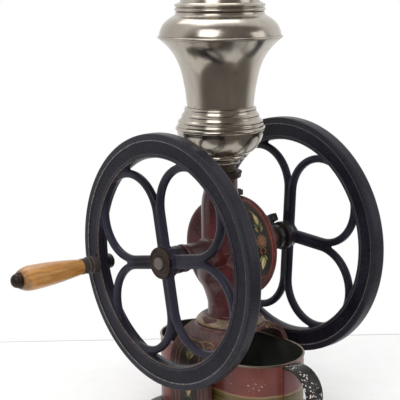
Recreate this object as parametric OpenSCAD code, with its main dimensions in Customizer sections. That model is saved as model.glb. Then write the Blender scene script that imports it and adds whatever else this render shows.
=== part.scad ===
// Counter coffee mill: two flywheels on one shaft, disc burrs in a drum, urn hopper and an oval can.
// +X runs along the shaft away from the crank, -Y faces the user, +Z is up, the counter is z = 0.

/* [Overall] */
// Height of the shaft axis above the counter
shaft_h = 280; // [276:1:292]
// Shaft diameter
shaft_d = 19; // [17:0.5:20]
// How far the end of the shaft stands out of each wheel hub
shaft_proud = 3; // [1:0.5:6]

/* [Flywheels] */
// Outer diameter of each wheel
wheel_d = 394; // [386:1:400]
// Thickness of the rim along the shaft
rim_t = 22; // [20:1:26]
// Radial width of the rim
rim_w = 36.4; // [34:0.2:40]
// Depth of the recessed band on both rim faces
rim_recess = 2.2; // [1:0.1:3]
// Distance from the middle of the mill to the outer face of each rim
wheel_face_x = 144; // [143:0.5:150]
// Thickness of each curved arm
arm_d = 13; // [11:0.5:15]
// Radius of the arc that an arm follows
arm_arc_r = 64.6; // [62:0.1:65]
// Half the distance between the middles of the two arms in a spoke
arm_spread = 4.6; // [4:0.1:6]
// Radius of the hub plate
hub_r = 25; // [23:0.5:27]
// Radius of the hub barrel
barrel_r = 21.5; // [20:0.5:22.5]
// Turn of the crank wheel about the shaft
near_phase = -11.3; // [-45:0.1:45]
// Turn of the far wheel about the shaft
far_phase = 3.2; // [-45:0.1:45]

/* [Crank] */
// Distance from the shaft to the crank pin
crank_r = 171; // [168:0.5:180]
// Diameter of the crank pin
pin_d = 12; // [10:0.5:13]
// Diameter of the collar against the rim
pin_collar_d = 30; // [26:0.5:32]
// Length of the collar against the rim
pin_collar_len = 13; // [11:0.2:18]
// Length of the wooden grip outside its ferrule
grip_len = 115; // [105:1:125]
// Largest diameter of the grip
grip_d = 40; // [34:0.5:44]
// Diameter of the grip next to the ferrule
grip_neck_d = 24.5; // [24:0.5:28]
// Length of the ferrule
ferrule_len = 15.5; // [13:0.5:20]
// Diameter of the domed end nut
end_nut_d = 26; // [22:0.5:28]

/* [Mill body] */
// Diameter of the burr drum
drum_d = 160; // [156:1:164]
// Where the drum starts along the shaft
drum_x0 = -25; // [-28:0.5:-22]
// Where the drum ends at the cover
drum_x1 = 17; // [16:0.5:20]
// Thickness of the cover plate
cover_t = 6; // [5:0.5:8]
// How far the cover stands out past the drum
cover_lip = 1; // [0.5:0.5:2]
// Wall left round the burr chamber
drum_wall = 10; // [9:0.5:12]
// Where the throat and hopper stand along the shaft
throat_x = -19.6; // [-22:0.2:-17]
// Radius of the throat at the shaft
throat_r = 31; // [30:0.5:33]
// Wall of the throat
throat_wall = 7; // [5:0.5:9]
// Height of the throat's top face above the shaft
throat_top = 122; // [118:1:128]
// Radius of the crank-side bearing boss
boss_r = 20; // [18:0.5:22]
// Gap between a bearing boss and the hub beside it
hub_gap = 3; // [2:0.5:4]
// Radius of the column
column_r = 36; // [34:0.5:39]
// Wall of the column
column_wall = 10; // [8:0.5:12]
// Radius of the column's foot
foot_r = 55; // [52:0.5:58]
// Height of the column's foot above the arch seat
foot_h = 13.5; // [10:0.5:18]

/* [Base] */
// Half of the arch's outer width
arch_half_w = 91; // [90:0.5:95]
// Height of the seat for the column
seat_z = 159; // [155:0.5:162]
// Height at which the arch's legs start to curve
arch_spring_z = 97; // [90:1:103]
// Thickness of the arch
arch_wall = 11; // [9:0.5:12]
// Depth of the arch from front to back
arch_depth = 90; // [86:1:100]
// Width of the base plate along the shaft
plate_w = 226; // [220:1:240]
// Depth of the base plate
plate_l = 230; // [220:1:250]
// Thickness of the base plate
plate_t = 12; // [10:0.5:15]
// Corner radius of the base plate
plate_corner = 50; // [40:1:60]
// Distance between the counter screws along the shaft
screw_span_x = 184; // [176:1:190]
// Distance between the counter screws from front to back
screw_span_y = 170; // [160:1:176]
// Diameter of the counter screw holes
screw_hole_d = 7; // [5:0.5:8]

/* [Receiving can] */
// Radius of the can's round ends
can_end_r = 72; // [69:0.5:73]
// Distance between the centres of the two round ends
can_span = 130; // [120:1:135]
// Height of the can
can_h = 108; // [96:1:112]
// Thickness of the can's sheet
can_wall = 1.4; // [1:0.1:2]
// Radius of the wire rolled into the can's rim
can_wire_r = 2.2; // [1.8:0.1:3]
// Width of the strap handle
strap_w = 26; // [20:1:30]
// Thickness of the strap handle
strap_t = 2.4; // [2:0.1:3]
// How far the handle stands out of the can
strap_reach = 53; // [46:1:60]

/* [Hopper] */
// Largest radius of the urn
urn_r = 96; // [92:0.5:98]
// Radius of the urn's waist
urn_waist_r = 51.4; // [50:0.2:53]
// Thickness of the hopper's sheet
sheet_t = 1.6; // [1.4:0.1:2]
// Radius of the bowl's rim
bowl_r = 69.5; // [68:0.5:72]
// Radius of the filling mouth
mouth_r = 62; // [58:0.5:64]
// Height of the lid's dome
dome_h = 40; // [34:1:50]
// Height of the lid's knob
knob_h = 40; // [34:1:46]

/* [Burrs] */
// Radius of the burrs
burr_r = 60; // [54:0.5:62]
// Number of grooves in each burr
burr_grooves = 18; // [12:1:24]
// Gap between the burrs at rest
burr_gap = 1.2; // [1:0.1:1.5]

/* [Fits] */
// Radial clearance of each running fit
run_gap = 0.05; // [0.02:0.01:0.08]
// Clearance between pieces that are fixed together
seat_gap = 0.05; // [0.02:0.01:0.1]

/* [Hidden] */
$fn = 96;
cut = 1;
wheel_r = wheel_d / 2;
rim_in = wheel_r - rim_w;
shaft_r = shaft_d / 2;
arm_r = arm_d / 2;
arm_c_x = rim_in + arm_r - arm_arc_r;
arm_c_y = arm_arc_r + arm_spread;
arm_c_ang = atan2(arm_c_y, sqrt(max(1, arm_c_x * arm_c_x - arm_c_y * arm_c_y)));
arm_mid_x = sqrt(arm_c_x * arm_c_x - arm_c_y * arm_c_y);
barrel_end = boss_end_x() + hub_gap;
pin_r = pin_d / 2;
rim_nut_r = 11.5;
drum_r = drum_d / 2;
cover_x1 = drum_x1 + cover_t;
chamber_r = drum_r - drum_wall;
column_in = column_r - column_wall;
worm_r = throat_r - throat_wall - 1;
nut_x0 = cover_x1 + 83;
nut_t = 11;
nose_r = 12.5;
washer_t = 2.5;
can_floor = plate_t + 0.5;
can_rim_z = can_floor + can_h;
neck_r = throat_r - throat_wall;
thread_r = neck_r + 2.5;
hop_z = shaft_h + throat_top;
screw_r = 2.5;
bolt_r = 4;
bolt_head_r = 7;
key_w = 5;
function boss_end_x() = 90;
function quarter(cx, cy, r, a0, a1, n) =
  [for (i = [0 : n]) [cx + r * cos(a0 + (a1 - a0) * i / n), cy + r * sin(a0 + (a1 - a0) * i / n)]];
function arch_curve(a, b, p, n) =
  [for (i = [0 : n]) let (t = 180 * i / n, c = cos(t))
    [a * sign(c) * pow(abs(c), 2 / p), b * pow(sin(t), 2 / p)]];

// Places a shape drawn along +Z on the shaft axis, starting at x
module on_shaft(x) {
  translate([x, 0, shaft_h]) rotate([0, 90, 0]) children();
}

// Places a shape drawn along +Z on the crank pin's axis of the crank wheel
module on_pin(x) {
  on_shaft(x) rotate([0, 0, near_phase]) translate([0, crank_r, 0]) children();
}

// Stands a shape on the hopper's axis, above the throat's top
module on_hopper(z) {
  translate([throat_x, 0, hop_z + z]) children();
}

module oval(r, span) {
  translate([0, span / 2]) circle(r);
  translate([0, -span / 2]) circle(r);
  translate([-r, -span / 2]) square([2 * r, span]);
}

module rounded_plate(w, l, r) {
  for (sx = [-1, 1], sy = [-1, 1]) translate([sx * (w / 2 - r), sy * (l / 2 - r)]) circle(r);
  translate([-w / 2, r - l / 2]) square([w, l - 2 * r]);
  translate([r - w / 2, -l / 2]) square([w - 2 * r, l]);
}

module hex_head(r, h) {
  cylinder(r = r, h = h, $fn = 6);
}

// ---- Base ----
module base_plate() {
  color([0.10, 0.10, 0.11]) difference() {
    union() {
      linear_extrude(plate_t - 4) rounded_plate(plate_w, plate_l, plate_corner);
      translate([0, 0, plate_t - 4]) linear_extrude(4)
        rounded_plate(plate_w - 5, plate_l - 5, plate_corner - 2.5);
    }
    for (sx = [-1, 1], sy = [-1, 1]) translate([sx * screw_span_x / 2, sy * screw_span_y / 2, -cut])
      cylinder(d = screw_hole_d, h = plate_t + 2 * cut);
    for (sx = [-1, 1], sy = [-1, 1]) translate([sx * pad_bolt_x(), sy * pad_bolt_y(), -cut])
      cylinder(r = bolt_r + seat_gap, h = plate_t + 2 * cut);
  }
}

function pad_bolt_x() = arch_half_w + 10.5;
function pad_bolt_y() = arch_depth / 2 - 13;
pad_h = 9;
arch_in_top = seat_z - 12;
crown_z = seat_z + 4;

module arch_outline(inset) {
  intersection() {
    union() {
      translate([0, arch_spring_z])
        polygon(arch_curve(arch_half_w - inset, crown_z - arch_spring_z - inset, 2.3, 60));
      translate([inset - arch_half_w, plate_t])
        square([2 * (arch_half_w - inset), arch_spring_z - plate_t + 0.01]);
    }
    translate([-200, plate_t]) square([400, seat_z - plate_t]);
  }
}

module arch_hollow() {
  translate([0, arch_spring_z])
    polygon(arch_curve(arch_half_w - arch_wall, arch_in_top - arch_spring_z, 3.4, 60));
  translate([arch_wall - arch_half_w, 0]) square([2 * (arch_half_w - arch_wall), arch_spring_z + 0.01]);
}

// The arch that straddles the can: two legs on pads, a moulded edge and a round seat for the column
module base_arch() {
  color([0.42, 0.17, 0.16]) difference() {
    union() {
      rotate([90, 0, 0]) linear_extrude(arch_depth, center = true) arch_outline(3);
      rotate([90, 0, 0]) linear_extrude(arch_depth - 9, center = true) arch_outline(0);
      translate([0, 0, seat_z - 13]) cylinder(r = foot_r + 2, h = 13);
      for (sx = [-1, 1]) translate([sx * (arch_half_w + 1.5), 0, plate_t]) linear_extrude(pad_h)
        rounded_plate(34, arch_depth + 10, 8);
    }
    rotate([90, 0, 0]) linear_extrude(arch_depth + 40, center = true) arch_hollow();
    translate([0, 0, seat_z - 30]) cylinder(r = column_in, h = 60);
    for (sx = [-1, 1], sy = [-1, 1]) translate([sx * pad_bolt_x(), sy * pad_bolt_y(), plate_t - cut])
      cylinder(r = bolt_r + seat_gap, h = pad_h + 2 * cut);
    for (a = [45 : 90 : 315]) rotate([0, 0, a]) translate([foot_bolt_r(), 0, 0]) {
      translate([0, 0, seat_z - 30]) cylinder(r = bolt_r + seat_gap, h = 60);
      translate([0, 0, arch_in_top - 8]) cylinder(r = bolt_head_r + 1, h = 8);
    }
  }
}

function foot_bolt_r() = (foot_r + column_in) / 2 + 2;

module arch_bolts() {
  color([0.15, 0.14, 0.14]) for (sx = [-1, 1], sy = [-1, 1])
    translate([sx * pad_bolt_x(), sy * pad_bolt_y(), 2]) {
      cylinder(r = bolt_r, h = plate_t + pad_h - 2);
      translate([0, 0, plate_t + pad_h - 2]) hex_head(6.5, 5);
    }
}

module column_bolts() {
  color([0.15, 0.14, 0.14]) for (a = [45 : 90 : 315]) rotate([0, 0, a]) translate([foot_bolt_r(), 0, 0]) {
    translate([0, 0, arch_in_top - 5]) hex_head(bolt_head_r, 5);
    translate([0, 0, arch_in_top]) cylinder(r = bolt_r, h = seat_z - arch_in_top + 6.5);
  }
}

// ---- Mill: the column with its bell foot, and above it the drum, throat and bearing boss ----
neck_z = seat_z + foot_h;
flare_z = shaft_h - 1.1 * drum_r;

function foot_curve(t) = [column_r + (foot_r - column_r) * pow(1 - t, 0.667), foot_h * pow(t, 0.667)];
function flare(t) = column_r + 10.8 * t + 6.9 * pow(t, 4);

module column_outer() {
  translate([0, 0, seat_z]) rotate_extrude() polygon(concat([[0, 0], [foot_r, 0]],
    [for (i = [1 : 15]) let (t = pow(i / 16, 1.5)) foot_curve(t)], [[column_r, foot_h]],
    [for (i = [0 : 12]) [flare(i / 12), flare_z - seat_z + 35 * i / 12]], [[0, flare_z - seat_z + 35]]));
}

module throat_outer() {
  rotate_extrude() polygon(concat([[0, -6], [throat_r - 8, -6]], quarter(throat_r - 8, 2, 8, -90, 0, 6),
    quarter(throat_r - 12, throat_top - 37, 12, 0, 68, 8),
    [[thread_r, throat_top - 22], [thread_r, throat_top], [0, throat_top]]));
}

module mill_casting() {
  difference() {
    union() {
      on_shaft(0) rotate_extrude() polygon([[0, drum_x0], [drum_r - 5, drum_x0],
        [drum_r - 1.5, drum_x0 + 1.5], [drum_r, drum_x0 + 5], [drum_r, drum_x1], [0, drum_x1]]);
      column_outer();
      translate([throat_x, 0, shaft_h]) throat_outer();
      on_shaft(-boss_end_x()) cylinder(r = boss_r, h = boss_end_x() + drum_x0 + cut);
      on_shaft(-boss_end_x()) cylinder(r = boss_r + 2, h = 5);
      on_shaft(throat_x - throat_r - 7) cylinder(r1 = boss_r, r2 = throat_r - 2, h = 14);
    }
    on_shaft(burr_seat_x()) cylinder(r = chamber_r, h = drum_x1 - burr_seat_x() + cut);
    on_shaft(drum_x1) cylinder(r = drum_r + cover_lip + 1.5, h = 60);
    on_shaft(worm_x0()) cylinder(r = worm_r + 1.5, h = burr_seat_x() - worm_x0() + cut);
    translate([throat_x, 0, shaft_h]) cylinder(r = worm_r + 1, h = throat_top - 40);
    translate([throat_x, 0, shaft_h]) cylinder(r = neck_r - 3, h = throat_top + cut);
    on_shaft(-boss_end_x() - cut) cylinder(r = bush_r() + seat_gap, h = boss_end_x() + worm_x0() + 2 * cut);
    translate([chute_x(), 0, seat_z - cut]) cylinder(r = column_in, h = shaft_h - seat_z - 40);
    for (a = [45 : 90 : 315]) on_shaft(drum_x1 - 14) rotate([0, 0, a]) translate([screw_ring_r(), 0, 0])
      cylinder(r = screw_r + seat_gap, h = 15);
    for (a = [45 : 90 : 315]) rotate([0, 0, a]) translate([foot_bolt_r(), 0, seat_z - cut])
      cylinder(r = bolt_r + seat_gap, h = 7 + cut);
  }
}

// Everything below the plane where the column meets the drum's wall
module below_saddle() {
  translate([-150, -150, 0]) cube([300, 300, shaft_h - chamber_r - saddle_t]);
}

module mill_column() {
  color([0.40, 0.15, 0.15]) intersection() {
    mill_casting();
    below_saddle();
  }
}

module mill_body() {
  color([0.40, 0.15, 0.15]) difference() {
    mill_casting();
    below_saddle();
  }
}

saddle_t = 2;
function worm_x0() = throat_x - 24;
function burr_seat_x() = -9;
function bush_r() = shaft_r + 3.5;
function chute_x() = 0;
function screw_ring_r() = (drum_r + chamber_r) / 2;

// Cover plate with the far bearing, ribs and the threaded nose that carries the grind nut
module housing_cover() {
  color([0.40, 0.15, 0.15]) difference() {
    union() {
      on_shaft(0) rotate_extrude() polygon([[0, drum_x1 - 3], [chamber_r - 0.3, drum_x1 - 3],
        [chamber_r - 0.3, drum_x1], [drum_r + cover_lip, drum_x1], [drum_r + cover_lip, cover_x1 - 1.5],
        [drum_r + cover_lip - 1.5, cover_x1], [36, cover_x1], [30, cover_x1 + 1.5], [24, cover_x1 + 5],
        [20, cover_x1 + 10], [18, cover_x1 + 16],
        [17.5, cover_x1 + 24], [16, cover_x1 + 27], [nose_r, cover_x1 + 28], [nose_r, nut_x0 + nut_t - 1],
        [0, nut_x0 + nut_t - 1]]);
      for (a = [0 : 60 : 300]) on_shaft(cover_x1 - 1) rotate([0, 0, a + 30]) translate([0, 3, 0])
        rotate([90, 0, 0]) linear_extrude(6) polygon([[16, 0], [66, 0], [64, 4], [34, 8], [16, 22]]);
      translate([drum_x1, -8, shaft_h + drum_r - 4]) cube([cover_t, 16, 7]);
    }
    on_shaft(0) cylinder(r = shaft_r + 0.6, h = 200);
    on_shaft(0) cylinder(r = bush_r() + seat_gap, h = cover_x1 + 22);
    for (a = [45 : 90 : 315]) on_shaft(drum_x1 - cut) rotate([0, 0, a]) translate([screw_ring_r(), 0, 0])
      cylinder(r = screw_r + seat_gap, h = cover_t + 2 * cut);
    translate([drum_x1 + cover_t / 2, 0, shaft_h + drum_r - 8]) cylinder(r = 2 + seat_gap, h = 20);
  }
}

module cover_screws() {
  color([0.20, 0.18, 0.17]) for (a = [45 : 90 : 315]) on_shaft(drum_x1 - 13) rotate([0, 0, a])
    translate([screw_ring_r(), 0, 0]) {
      cylinder(r = screw_r, h = 13 + cover_t);
      translate([0, 0, 13 + cover_t]) difference() {
        cylinder(r1 = 4.8, r2 = 3.6, h = 3);
        translate([-6, -0.6, 1.8]) cube([12, 1.2, 3]);
      }
    }
}

module top_bolt() {
  color([0.08, 0.08, 0.09]) translate([drum_x1 + cover_t / 2, 0, shaft_h + drum_r - 4]) {
    cylinder(r = 2, h = 8);
    translate([-4.5, -4.5, 7.1]) cube([9, 9, 8]);
    translate([0, 0, 15.1]) cylinder(r1 = 4, r2 = 3, h = 1.5);
  }
}

module near_bush() {
  color([0.62, 0.48, 0.25]) on_shaft(-boss_end_x()) difference() {
    cylinder(r = bush_r(), h = boss_end_x() + worm_x0());
    translate([0, 0, -cut]) cylinder(r = shaft_r + run_gap, h = 100);
  }
}

module far_bush() {
  color([0.62, 0.48, 0.25]) on_shaft(drum_x1 + 3) difference() {
    cylinder(r = bush_r(), h = cover_x1 + 22 - drum_x1 - 3);
    translate([0, 0, -cut]) cylinder(r = shaft_r + run_gap, h = 200);
  }
}

// ---- Burrs and worm ----
burr_t = 9;
fixed_face_x = burr_seat_x() + burr_t;

module groove_set(depth) {
  for (i = [0 : burr_grooves - 1]) rotate([0, 0, 360 * i / burr_grooves]) translate([worm_r - 2, -2, -depth])
    rotate([0, 0, 14]) cube([burr_r + 20, 3, 2 * depth]);
}

module fixed_burr() {
  color([0.35, 0.34, 0.33]) on_shaft(burr_seat_x()) difference() {
    cylinder(r = burr_r, h = burr_t);
    translate([0, 0, -cut]) cylinder(r = worm_r + 1.5, h = burr_t + 2 * cut);
    translate([0, 0, burr_t - 2]) cylinder(r1 = worm_r + 1.5, r2 = worm_r + 8, h = 2 + 0.01);
    translate([0, 0, burr_t]) groove_set(1.8);
  }
}

module turning_burr() {
  color([0.35, 0.34, 0.33]) on_shaft(fixed_face_x + burr_gap) difference() {
    cylinder(r = burr_r, h = burr_t - 1);
    translate([0, 0, -cut]) cylinder(r = shaft_r + seat_gap, h = burr_t + 2 * cut);
    mirror([0, 1, 0]) groove_set(1.8);
    translate([shaft_r - 1.5, -key_w / 2 - seat_gap, -cut])
      cube([3.5, key_w + 2 * seat_gap, burr_t + 2 * cut]);
  }
}

module burr_key() {
  color([0.45, 0.44, 0.42]) on_shaft(fixed_face_x + burr_gap + 1) translate([shaft_r - 1.4, -key_w / 2, 0])
    cube([3, key_w, burr_t - 3]);
}

module feed_worm() {
  color([0.38, 0.36, 0.34]) on_shaft(worm_x0() + 2) difference() {
    linear_extrude(fixed_face_x - worm_x0() - 3, twist = -540, slices = 34, $fn = 20) union() {
      circle(shaft_r + 3);
      translate([0, -3]) square([worm_r - 0.5, 6]);
    }
    translate([0, 0, -cut]) cylinder(r = shaft_r + seat_gap, h = 80, $fn = 48);
  }
}

// ---- Shaft and wheels ----
module main_shaft() {
  color([0.45, 0.43, 0.40]) difference() {
    on_shaft(-hub_face_x() - shaft_proud) {
      cylinder(r1 = shaft_r - 1.5, r2 = shaft_r, h = 1.5);
      translate([0, 0, 1.5]) cylinder(r = shaft_r, h = 2 * (hub_face_x() + shaft_proud) - 3);
      translate([0, 0, 2 * (hub_face_x() + shaft_proud) - 1.5])
        cylinder(r1 = shaft_r, r2 = shaft_r - 1.5, h = 1.5);
    }
    for (s = [-1, 1]) on_shaft(s * (wheel_face_x - rim_t / 2) - key_len() / 2) wheel_key_slot();
    on_shaft(fixed_face_x + burr_gap + 1)
      translate([shaft_r - 1.4 - seat_gap, -key_w / 2 - seat_gap, -seat_gap])
      cube([5, key_w + 2 * seat_gap, burr_t - 3 + 2 * seat_gap]);
  }
}

function hub_face_x() = wheel_face_x + 3;
function key_len() = 22;

module wheel_key_slot() {
  translate([-key_w / 2 - seat_gap, shaft_r - 1.6 - seat_gap, -seat_gap])
    cube([key_w + 2 * seat_gap, 6, key_len() + 2 * seat_gap]);
}

module wheel_keys() {
  color([0.45, 0.44, 0.42]) for (s = [-1, 1]) on_shaft(s * (wheel_face_x - rim_t / 2) - key_len() / 2)
    translate([-key_w / 2, shaft_r - 1.6, 0]) cube([key_w, 3.2, key_len()]);
}

// One spoke: a straight bar that splits into two curved arms which run into the rim
module spoke() {
  translate([0, 0, rim_t / 2]) {
    rotate([0, 90, 0]) linear_extrude(arm_mid_x) {
      translate([-arm_r, -arm_spread]) square([arm_d, 2 * arm_spread]);
      translate([0, arm_spread]) circle(arm_r);
      translate([0, -arm_spread]) circle(arm_r);
    }
    for (s = [0, 1]) mirror([0, s, 0]) translate([arm_mid_x, arm_c_y, 0]) rotate([0, 0, -90])
      rotate_extrude(angle = 84 + arm_c_ang) translate([arm_arc_r, 0]) circle(arm_r);
  }
}

// A rim with a recessed band on both faces, four split spokes and a hub whose barrel points inwards
module wheel_casting() {
  rotate_extrude($fn = 180) polygon([[rim_in, 5], [rim_in + 1.4, 1.8], [rim_in + 3.8, 0.6], [rim_in + 6, 1.2],
    [rim_in + 7.4, rim_recess], [wheel_r - 12, rim_recess], [wheel_r - 10, 0.5], [wheel_r - 8, 0],
    [wheel_r - 2, 0], [wheel_r, 2], [wheel_r, rim_t - 2], [wheel_r - 2, rim_t], [wheel_r - 8, rim_t],
    [wheel_r - 10, rim_t - 0.5], [wheel_r - 12, rim_t - rim_recess],
    [rim_in + 7.4, rim_t - rim_recess], [rim_in + 6, rim_t - 1.2],
    [rim_in + 3.8, rim_t - 0.6], [rim_in + 1.4, rim_t - 1.8], [rim_in, rim_t - 5]]);
  for (a = [0 : 90 : 270]) rotate([0, 0, a]) spoke();
  rotate_extrude() polygon([[0, -3], [hub_r - 2, -3], [hub_r, -1], [hub_r, rim_t - 4], [barrel_r, rim_t],
    [barrel_r, wheel_face_x - barrel_end], [0, wheel_face_x - barrel_end]]);
}

module near_wheel() {
  color([0.13, 0.13, 0.19]) difference() {
    on_shaft(-wheel_face_x) rotate([0, 0, near_phase]) wheel_casting();
    on_shaft(-200) cylinder(r = shaft_r + seat_gap, h = 200);
    on_shaft(-wheel_face_x + rim_t / 2 - key_len() / 2) wheel_key_slot();
    on_pin(-200) cylinder(r = pin_r + seat_gap, h = 200);
    on_pin(-wheel_face_x - cut) cylinder(r = pin_collar_d / 2 + 0.3, h = rim_recess + cut);
    on_pin(-wheel_face_x + rim_t - rim_recess) cylinder(r = rim_nut_r + 0.5, h = rim_recess + cut);
  }
}

module far_wheel() {
  color([0.13, 0.13, 0.19]) difference() {
    on_shaft(wheel_face_x) rotate([0, 0, far_phase]) mirror([0, 0, 1]) difference() {
      wheel_casting();
      translate([0, 0, nut_side_x()]) cylinder(r = barrel_r + 5, h = 60);
    }
    on_shaft(0) cylinder(r = shaft_r + seat_gap, h = 200);
    on_shaft(wheel_face_x - rim_t / 2 - key_len() / 2) wheel_key_slot();
  }
}

function nut_side_x() = wheel_face_x - nut_x0 - nut_t - washer_t - 1.6;

// ---- Grind setting ----
module thrust_washer() {
  color([0.62, 0.48, 0.25]) on_shaft(nut_x0 + nut_t + 0.8) difference() {
    cylinder(r = 17, h = washer_t);
    translate([0, 0, -cut]) cylinder(r = shaft_r + run_gap, h = 10);
  }
}

module grind_nut() {
  color([0.10, 0.10, 0.11]) on_shaft(nut_x0) difference() {
    union() {
      cylinder(r = 18, h = nut_t);
      rotate([0, 0, 165]) translate([0, 0, nut_t / 2]) rotate([0, 90, 0]) cylinder(r = 5, h = 21);
    }
    translate([0, 0, -cut]) cylinder(r = nose_r + run_gap, h = 30);
    rotate([0, 0, 165]) translate([0, 0, nut_t / 2]) rotate([0, 90, 0]) cylinder(r = 2.5 + seat_gap, h = 40);
    for (a = [0 : 15 : 345]) rotate([0, 0, a]) translate([18.6, 0, -cut]) cylinder(r = 1.2, h = 30, $fn = 8);
  }
}

module lock_screw() {
  color([0.12, 0.12, 0.13]) on_shaft(nut_x0) rotate([0, 0, 165]) translate([0, 0, nut_t / 2])
    rotate([0, 90, 0]) {
    translate([0, 0, nose_r + 0.8]) cylinder(r = 2.5, h = 12);
    translate([0, 0, 22]) cylinder(r = 6.5, h = 3);
    translate([-7, -1.8, 25]) cube([14, 3.6, 9]);
  }
}

// ---- Crank ----
collar_x = -wheel_face_x - pin_collar_len;
ferrule_x = collar_x - 0.4 - ferrule_len;
grip_x = ferrule_x - grip_len;

module crank_pin() {
  color([0.30, 0.27, 0.24]) {
    on_pin(collar_x) difference() {
      cylinder(d = pin_collar_d, h = pin_collar_len + rim_recess);
      for (s = [-1, 1]) translate([s * (pin_collar_d / 2 + 3) - 5, -20, 6]) cube([10, 40, 40]);
    }
    on_pin(grip_x - 9) cylinder(r = pin_r, h = collar_x - grip_x + 9 + cut);
    on_pin(collar_x + pin_collar_len - cut) cylinder(r = pin_r, h = rim_t + 12);
  }
}

module rim_nut() {
  color([0.10, 0.10, 0.11]) on_pin(-wheel_face_x + rim_t - rim_recess) difference() {
    union() {
      cylinder(r = rim_nut_r, h = 4);
      translate([0, 0, 4]) hex_head(rim_nut_r - 0.5, 7);
      translate([0, 0, 11]) cylinder(r1 = 8.5, r2 = 7, h = 1.5);
    }
    translate([0, 0, -cut]) cylinder(r = pin_r + seat_gap, h = 30);
  }
}

function grip_bulge(t) = grip_neck_d / 2 + (grip_d - grip_neck_d) / 2 * sin(90 * pow(min(1, t / 0.84), 0.95));
function grip_profile(t) = t < 0.84 ? grip_bulge(t) : grip_d / 2 * sqrt(1 - 0.46 * pow((t - 0.84) / 0.16, 2));

module grip() {
  color([0.75, 0.52, 0.27]) on_pin(grip_x) difference() {
    union() {
      rotate_extrude() polygon(concat([[0, 0]],
        [for (i = [0 : 28]) [grip_profile(1 - i / 28), grip_len * i / 28]], [[0, grip_len]]));
      cylinder(r = grip_neck_d / 2 - 2, h = grip_len + ferrule_len - 2);
    }
    translate([0, 0, -cut]) cylinder(r = pin_r + run_gap, h = grip_len + 60);
  }
}

module grip_ferrule() {
  color([0.35, 0.32, 0.28]) on_pin(ferrule_x + 0.1) difference() {
    rotate_extrude() polygon([[0, 0], [grip_neck_d / 2 + 0.6, 0], [grip_neck_d / 2 + 0.9, 2],
      [grip_neck_d / 2 + 0.3, 3.5],
      [grip_neck_d / 2 + 0.6, ferrule_len - 5], [grip_neck_d / 2 + 1.8, ferrule_len - 3.5],
      [grip_neck_d / 2 + 1.2, ferrule_len - 0.1], [0, ferrule_len - 0.1]]);
    translate([0, 0, -cut]) cylinder(r = grip_neck_d / 2 - 2 + seat_gap, h = ferrule_len - 1);
    translate([0, 0, -cut]) cylinder(r = pin_r + run_gap, h = 60);
  }
}

module grip_nut() {
  nut_len = 15.5;
  color([0.08, 0.08, 0.09]) on_pin(grip_x - 0.5 - nut_len) difference() {
    rotate_extrude() polygon(concat([[0, 0]],
      [for (i = [1 : 9]) [end_nut_d / 2 * sin(10 * i), (nut_len - 4) * (1 - cos(10 * i))]],
      [[end_nut_d / 2, nut_len - 1.2], [end_nut_d / 2 - 1.2, nut_len], [0, nut_len]]));
    translate([0, 0, nut_len - 8.7]) cylinder(r = pin_r + seat_gap, h = 20);
  }
}

// ---- Hopper ----
bowl_z = 18;
rim_z = bowl_z + 58;
collar_top = rim_z + 30;
girdle_z = collar_top + 104;
mouth_z = girdle_z + 40;

module neck_nut() {
  color([0.30, 0.20, 0.16]) on_hopper(-5) difference() {
    rotate_extrude() polygon([[0, 0], [throat_r + 0.5, 0], [throat_r + 1.5, 1.5], [throat_r + 1.5, 5.5],
      [throat_r + 2.5, 7], [throat_r + 2.5, 9], [throat_r + 1, 10.5], [0, 10.5]]);
    translate([0, 0, -cut]) cylinder(r = thread_r + seat_gap, h = 8.6 + cut);
    translate([0, 0, -cut]) cylinder(r = neck_r + seat_gap, h = 20);
    for (a = [0 : 45 : 315]) rotate([0, 0, a]) translate([throat_r + 3.6, 0, -cut]) cylinder(r = 2.4, h = 20);
  }
}

module hopper_neck() {
  color([0.35, 0.24, 0.20]) on_hopper(0) difference() {
    union() {
      translate([0, 0, 0.05]) cylinder(r = thread_r - 0.1, h = 3.4);
      cylinder(r = neck_r, h = bowl_z + 12);
    }
    translate([0, 0, -cut]) cylinder(r = neck_r - 3, h = 80);
    translate([0, 0, -cut]) cylinder(r = 60, h = cut + 0.05);
  }
}

function bowl_radius(t) = 46 + (bowl_r - 48) * pow(sin(90 * t), 0.8);

module hopper_bowl() {
  color([0.66, 0.63, 0.57]) on_hopper(bowl_z) difference() {
    rotate_extrude() polygon(concat([[0, 0], [29, 0]], quarter(28.5, 2, 2, -60, 60, 6), [[28, 4.5], [32, 7],
      [36, 8.4],
      [40, 9.5]], quarter(40, 12, 2.4, -70, 60, 6), [[41.5, 15.2], [45, 18]],
      [for (i = [0 : 14]) [bowl_radius(i / 14), 19.5 + 32 * i / 14]],
      [[bowl_r - 0.6, 52.4]], quarter(bowl_r - 1.6, 54.2, 2, -50, 60, 6), [[bowl_r - 2, 58], [0, 58]]));
    rotate_extrude() polygon(concat([[0, 13], [34, 15], [42, 19]],
      [for (i = [0 : 14]) [bowl_radius(i / 14) - sheet_t - 0.8, 21 + 30.5 * i / 14]],
      [[bowl_r - sheet_t - 2.8, 58 + cut], [0, 58 + cut]]));
    translate([0, 0, -cut]) cylinder(r = neck_r + seat_gap, h = 30);
  }
}

module hopper_collar() {
  color([0.68, 0.65, 0.58]) on_hopper(rim_z) difference() {
    rotate_extrude() polygon(concat([[0, 0], [bowl_r - 2.5, 0], [bowl_r - 2.6, 3], [65.4, 6.5]],
      quarter(62.7, 8, 3, -10, 70, 5), [[61.5, 12], [59.4, 15.5]], quarter(56.6, 17, 3, -20, 70, 5),
      [[56.2, 21], [55.2, 24.5]], quarter(53.8, 27.4, 2, -60, 90, 6), [[0, 30]]));
    translate([0, 0, -cut]) rotate_extrude() polygon([[0, 0], [bowl_r - 5.5, 0], [62, 5], [58, 10], [54, 17],
      [urn_waist_r + seat_gap, 22], [urn_waist_r + seat_gap, 40], [0, 40]]);
  }
}

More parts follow.
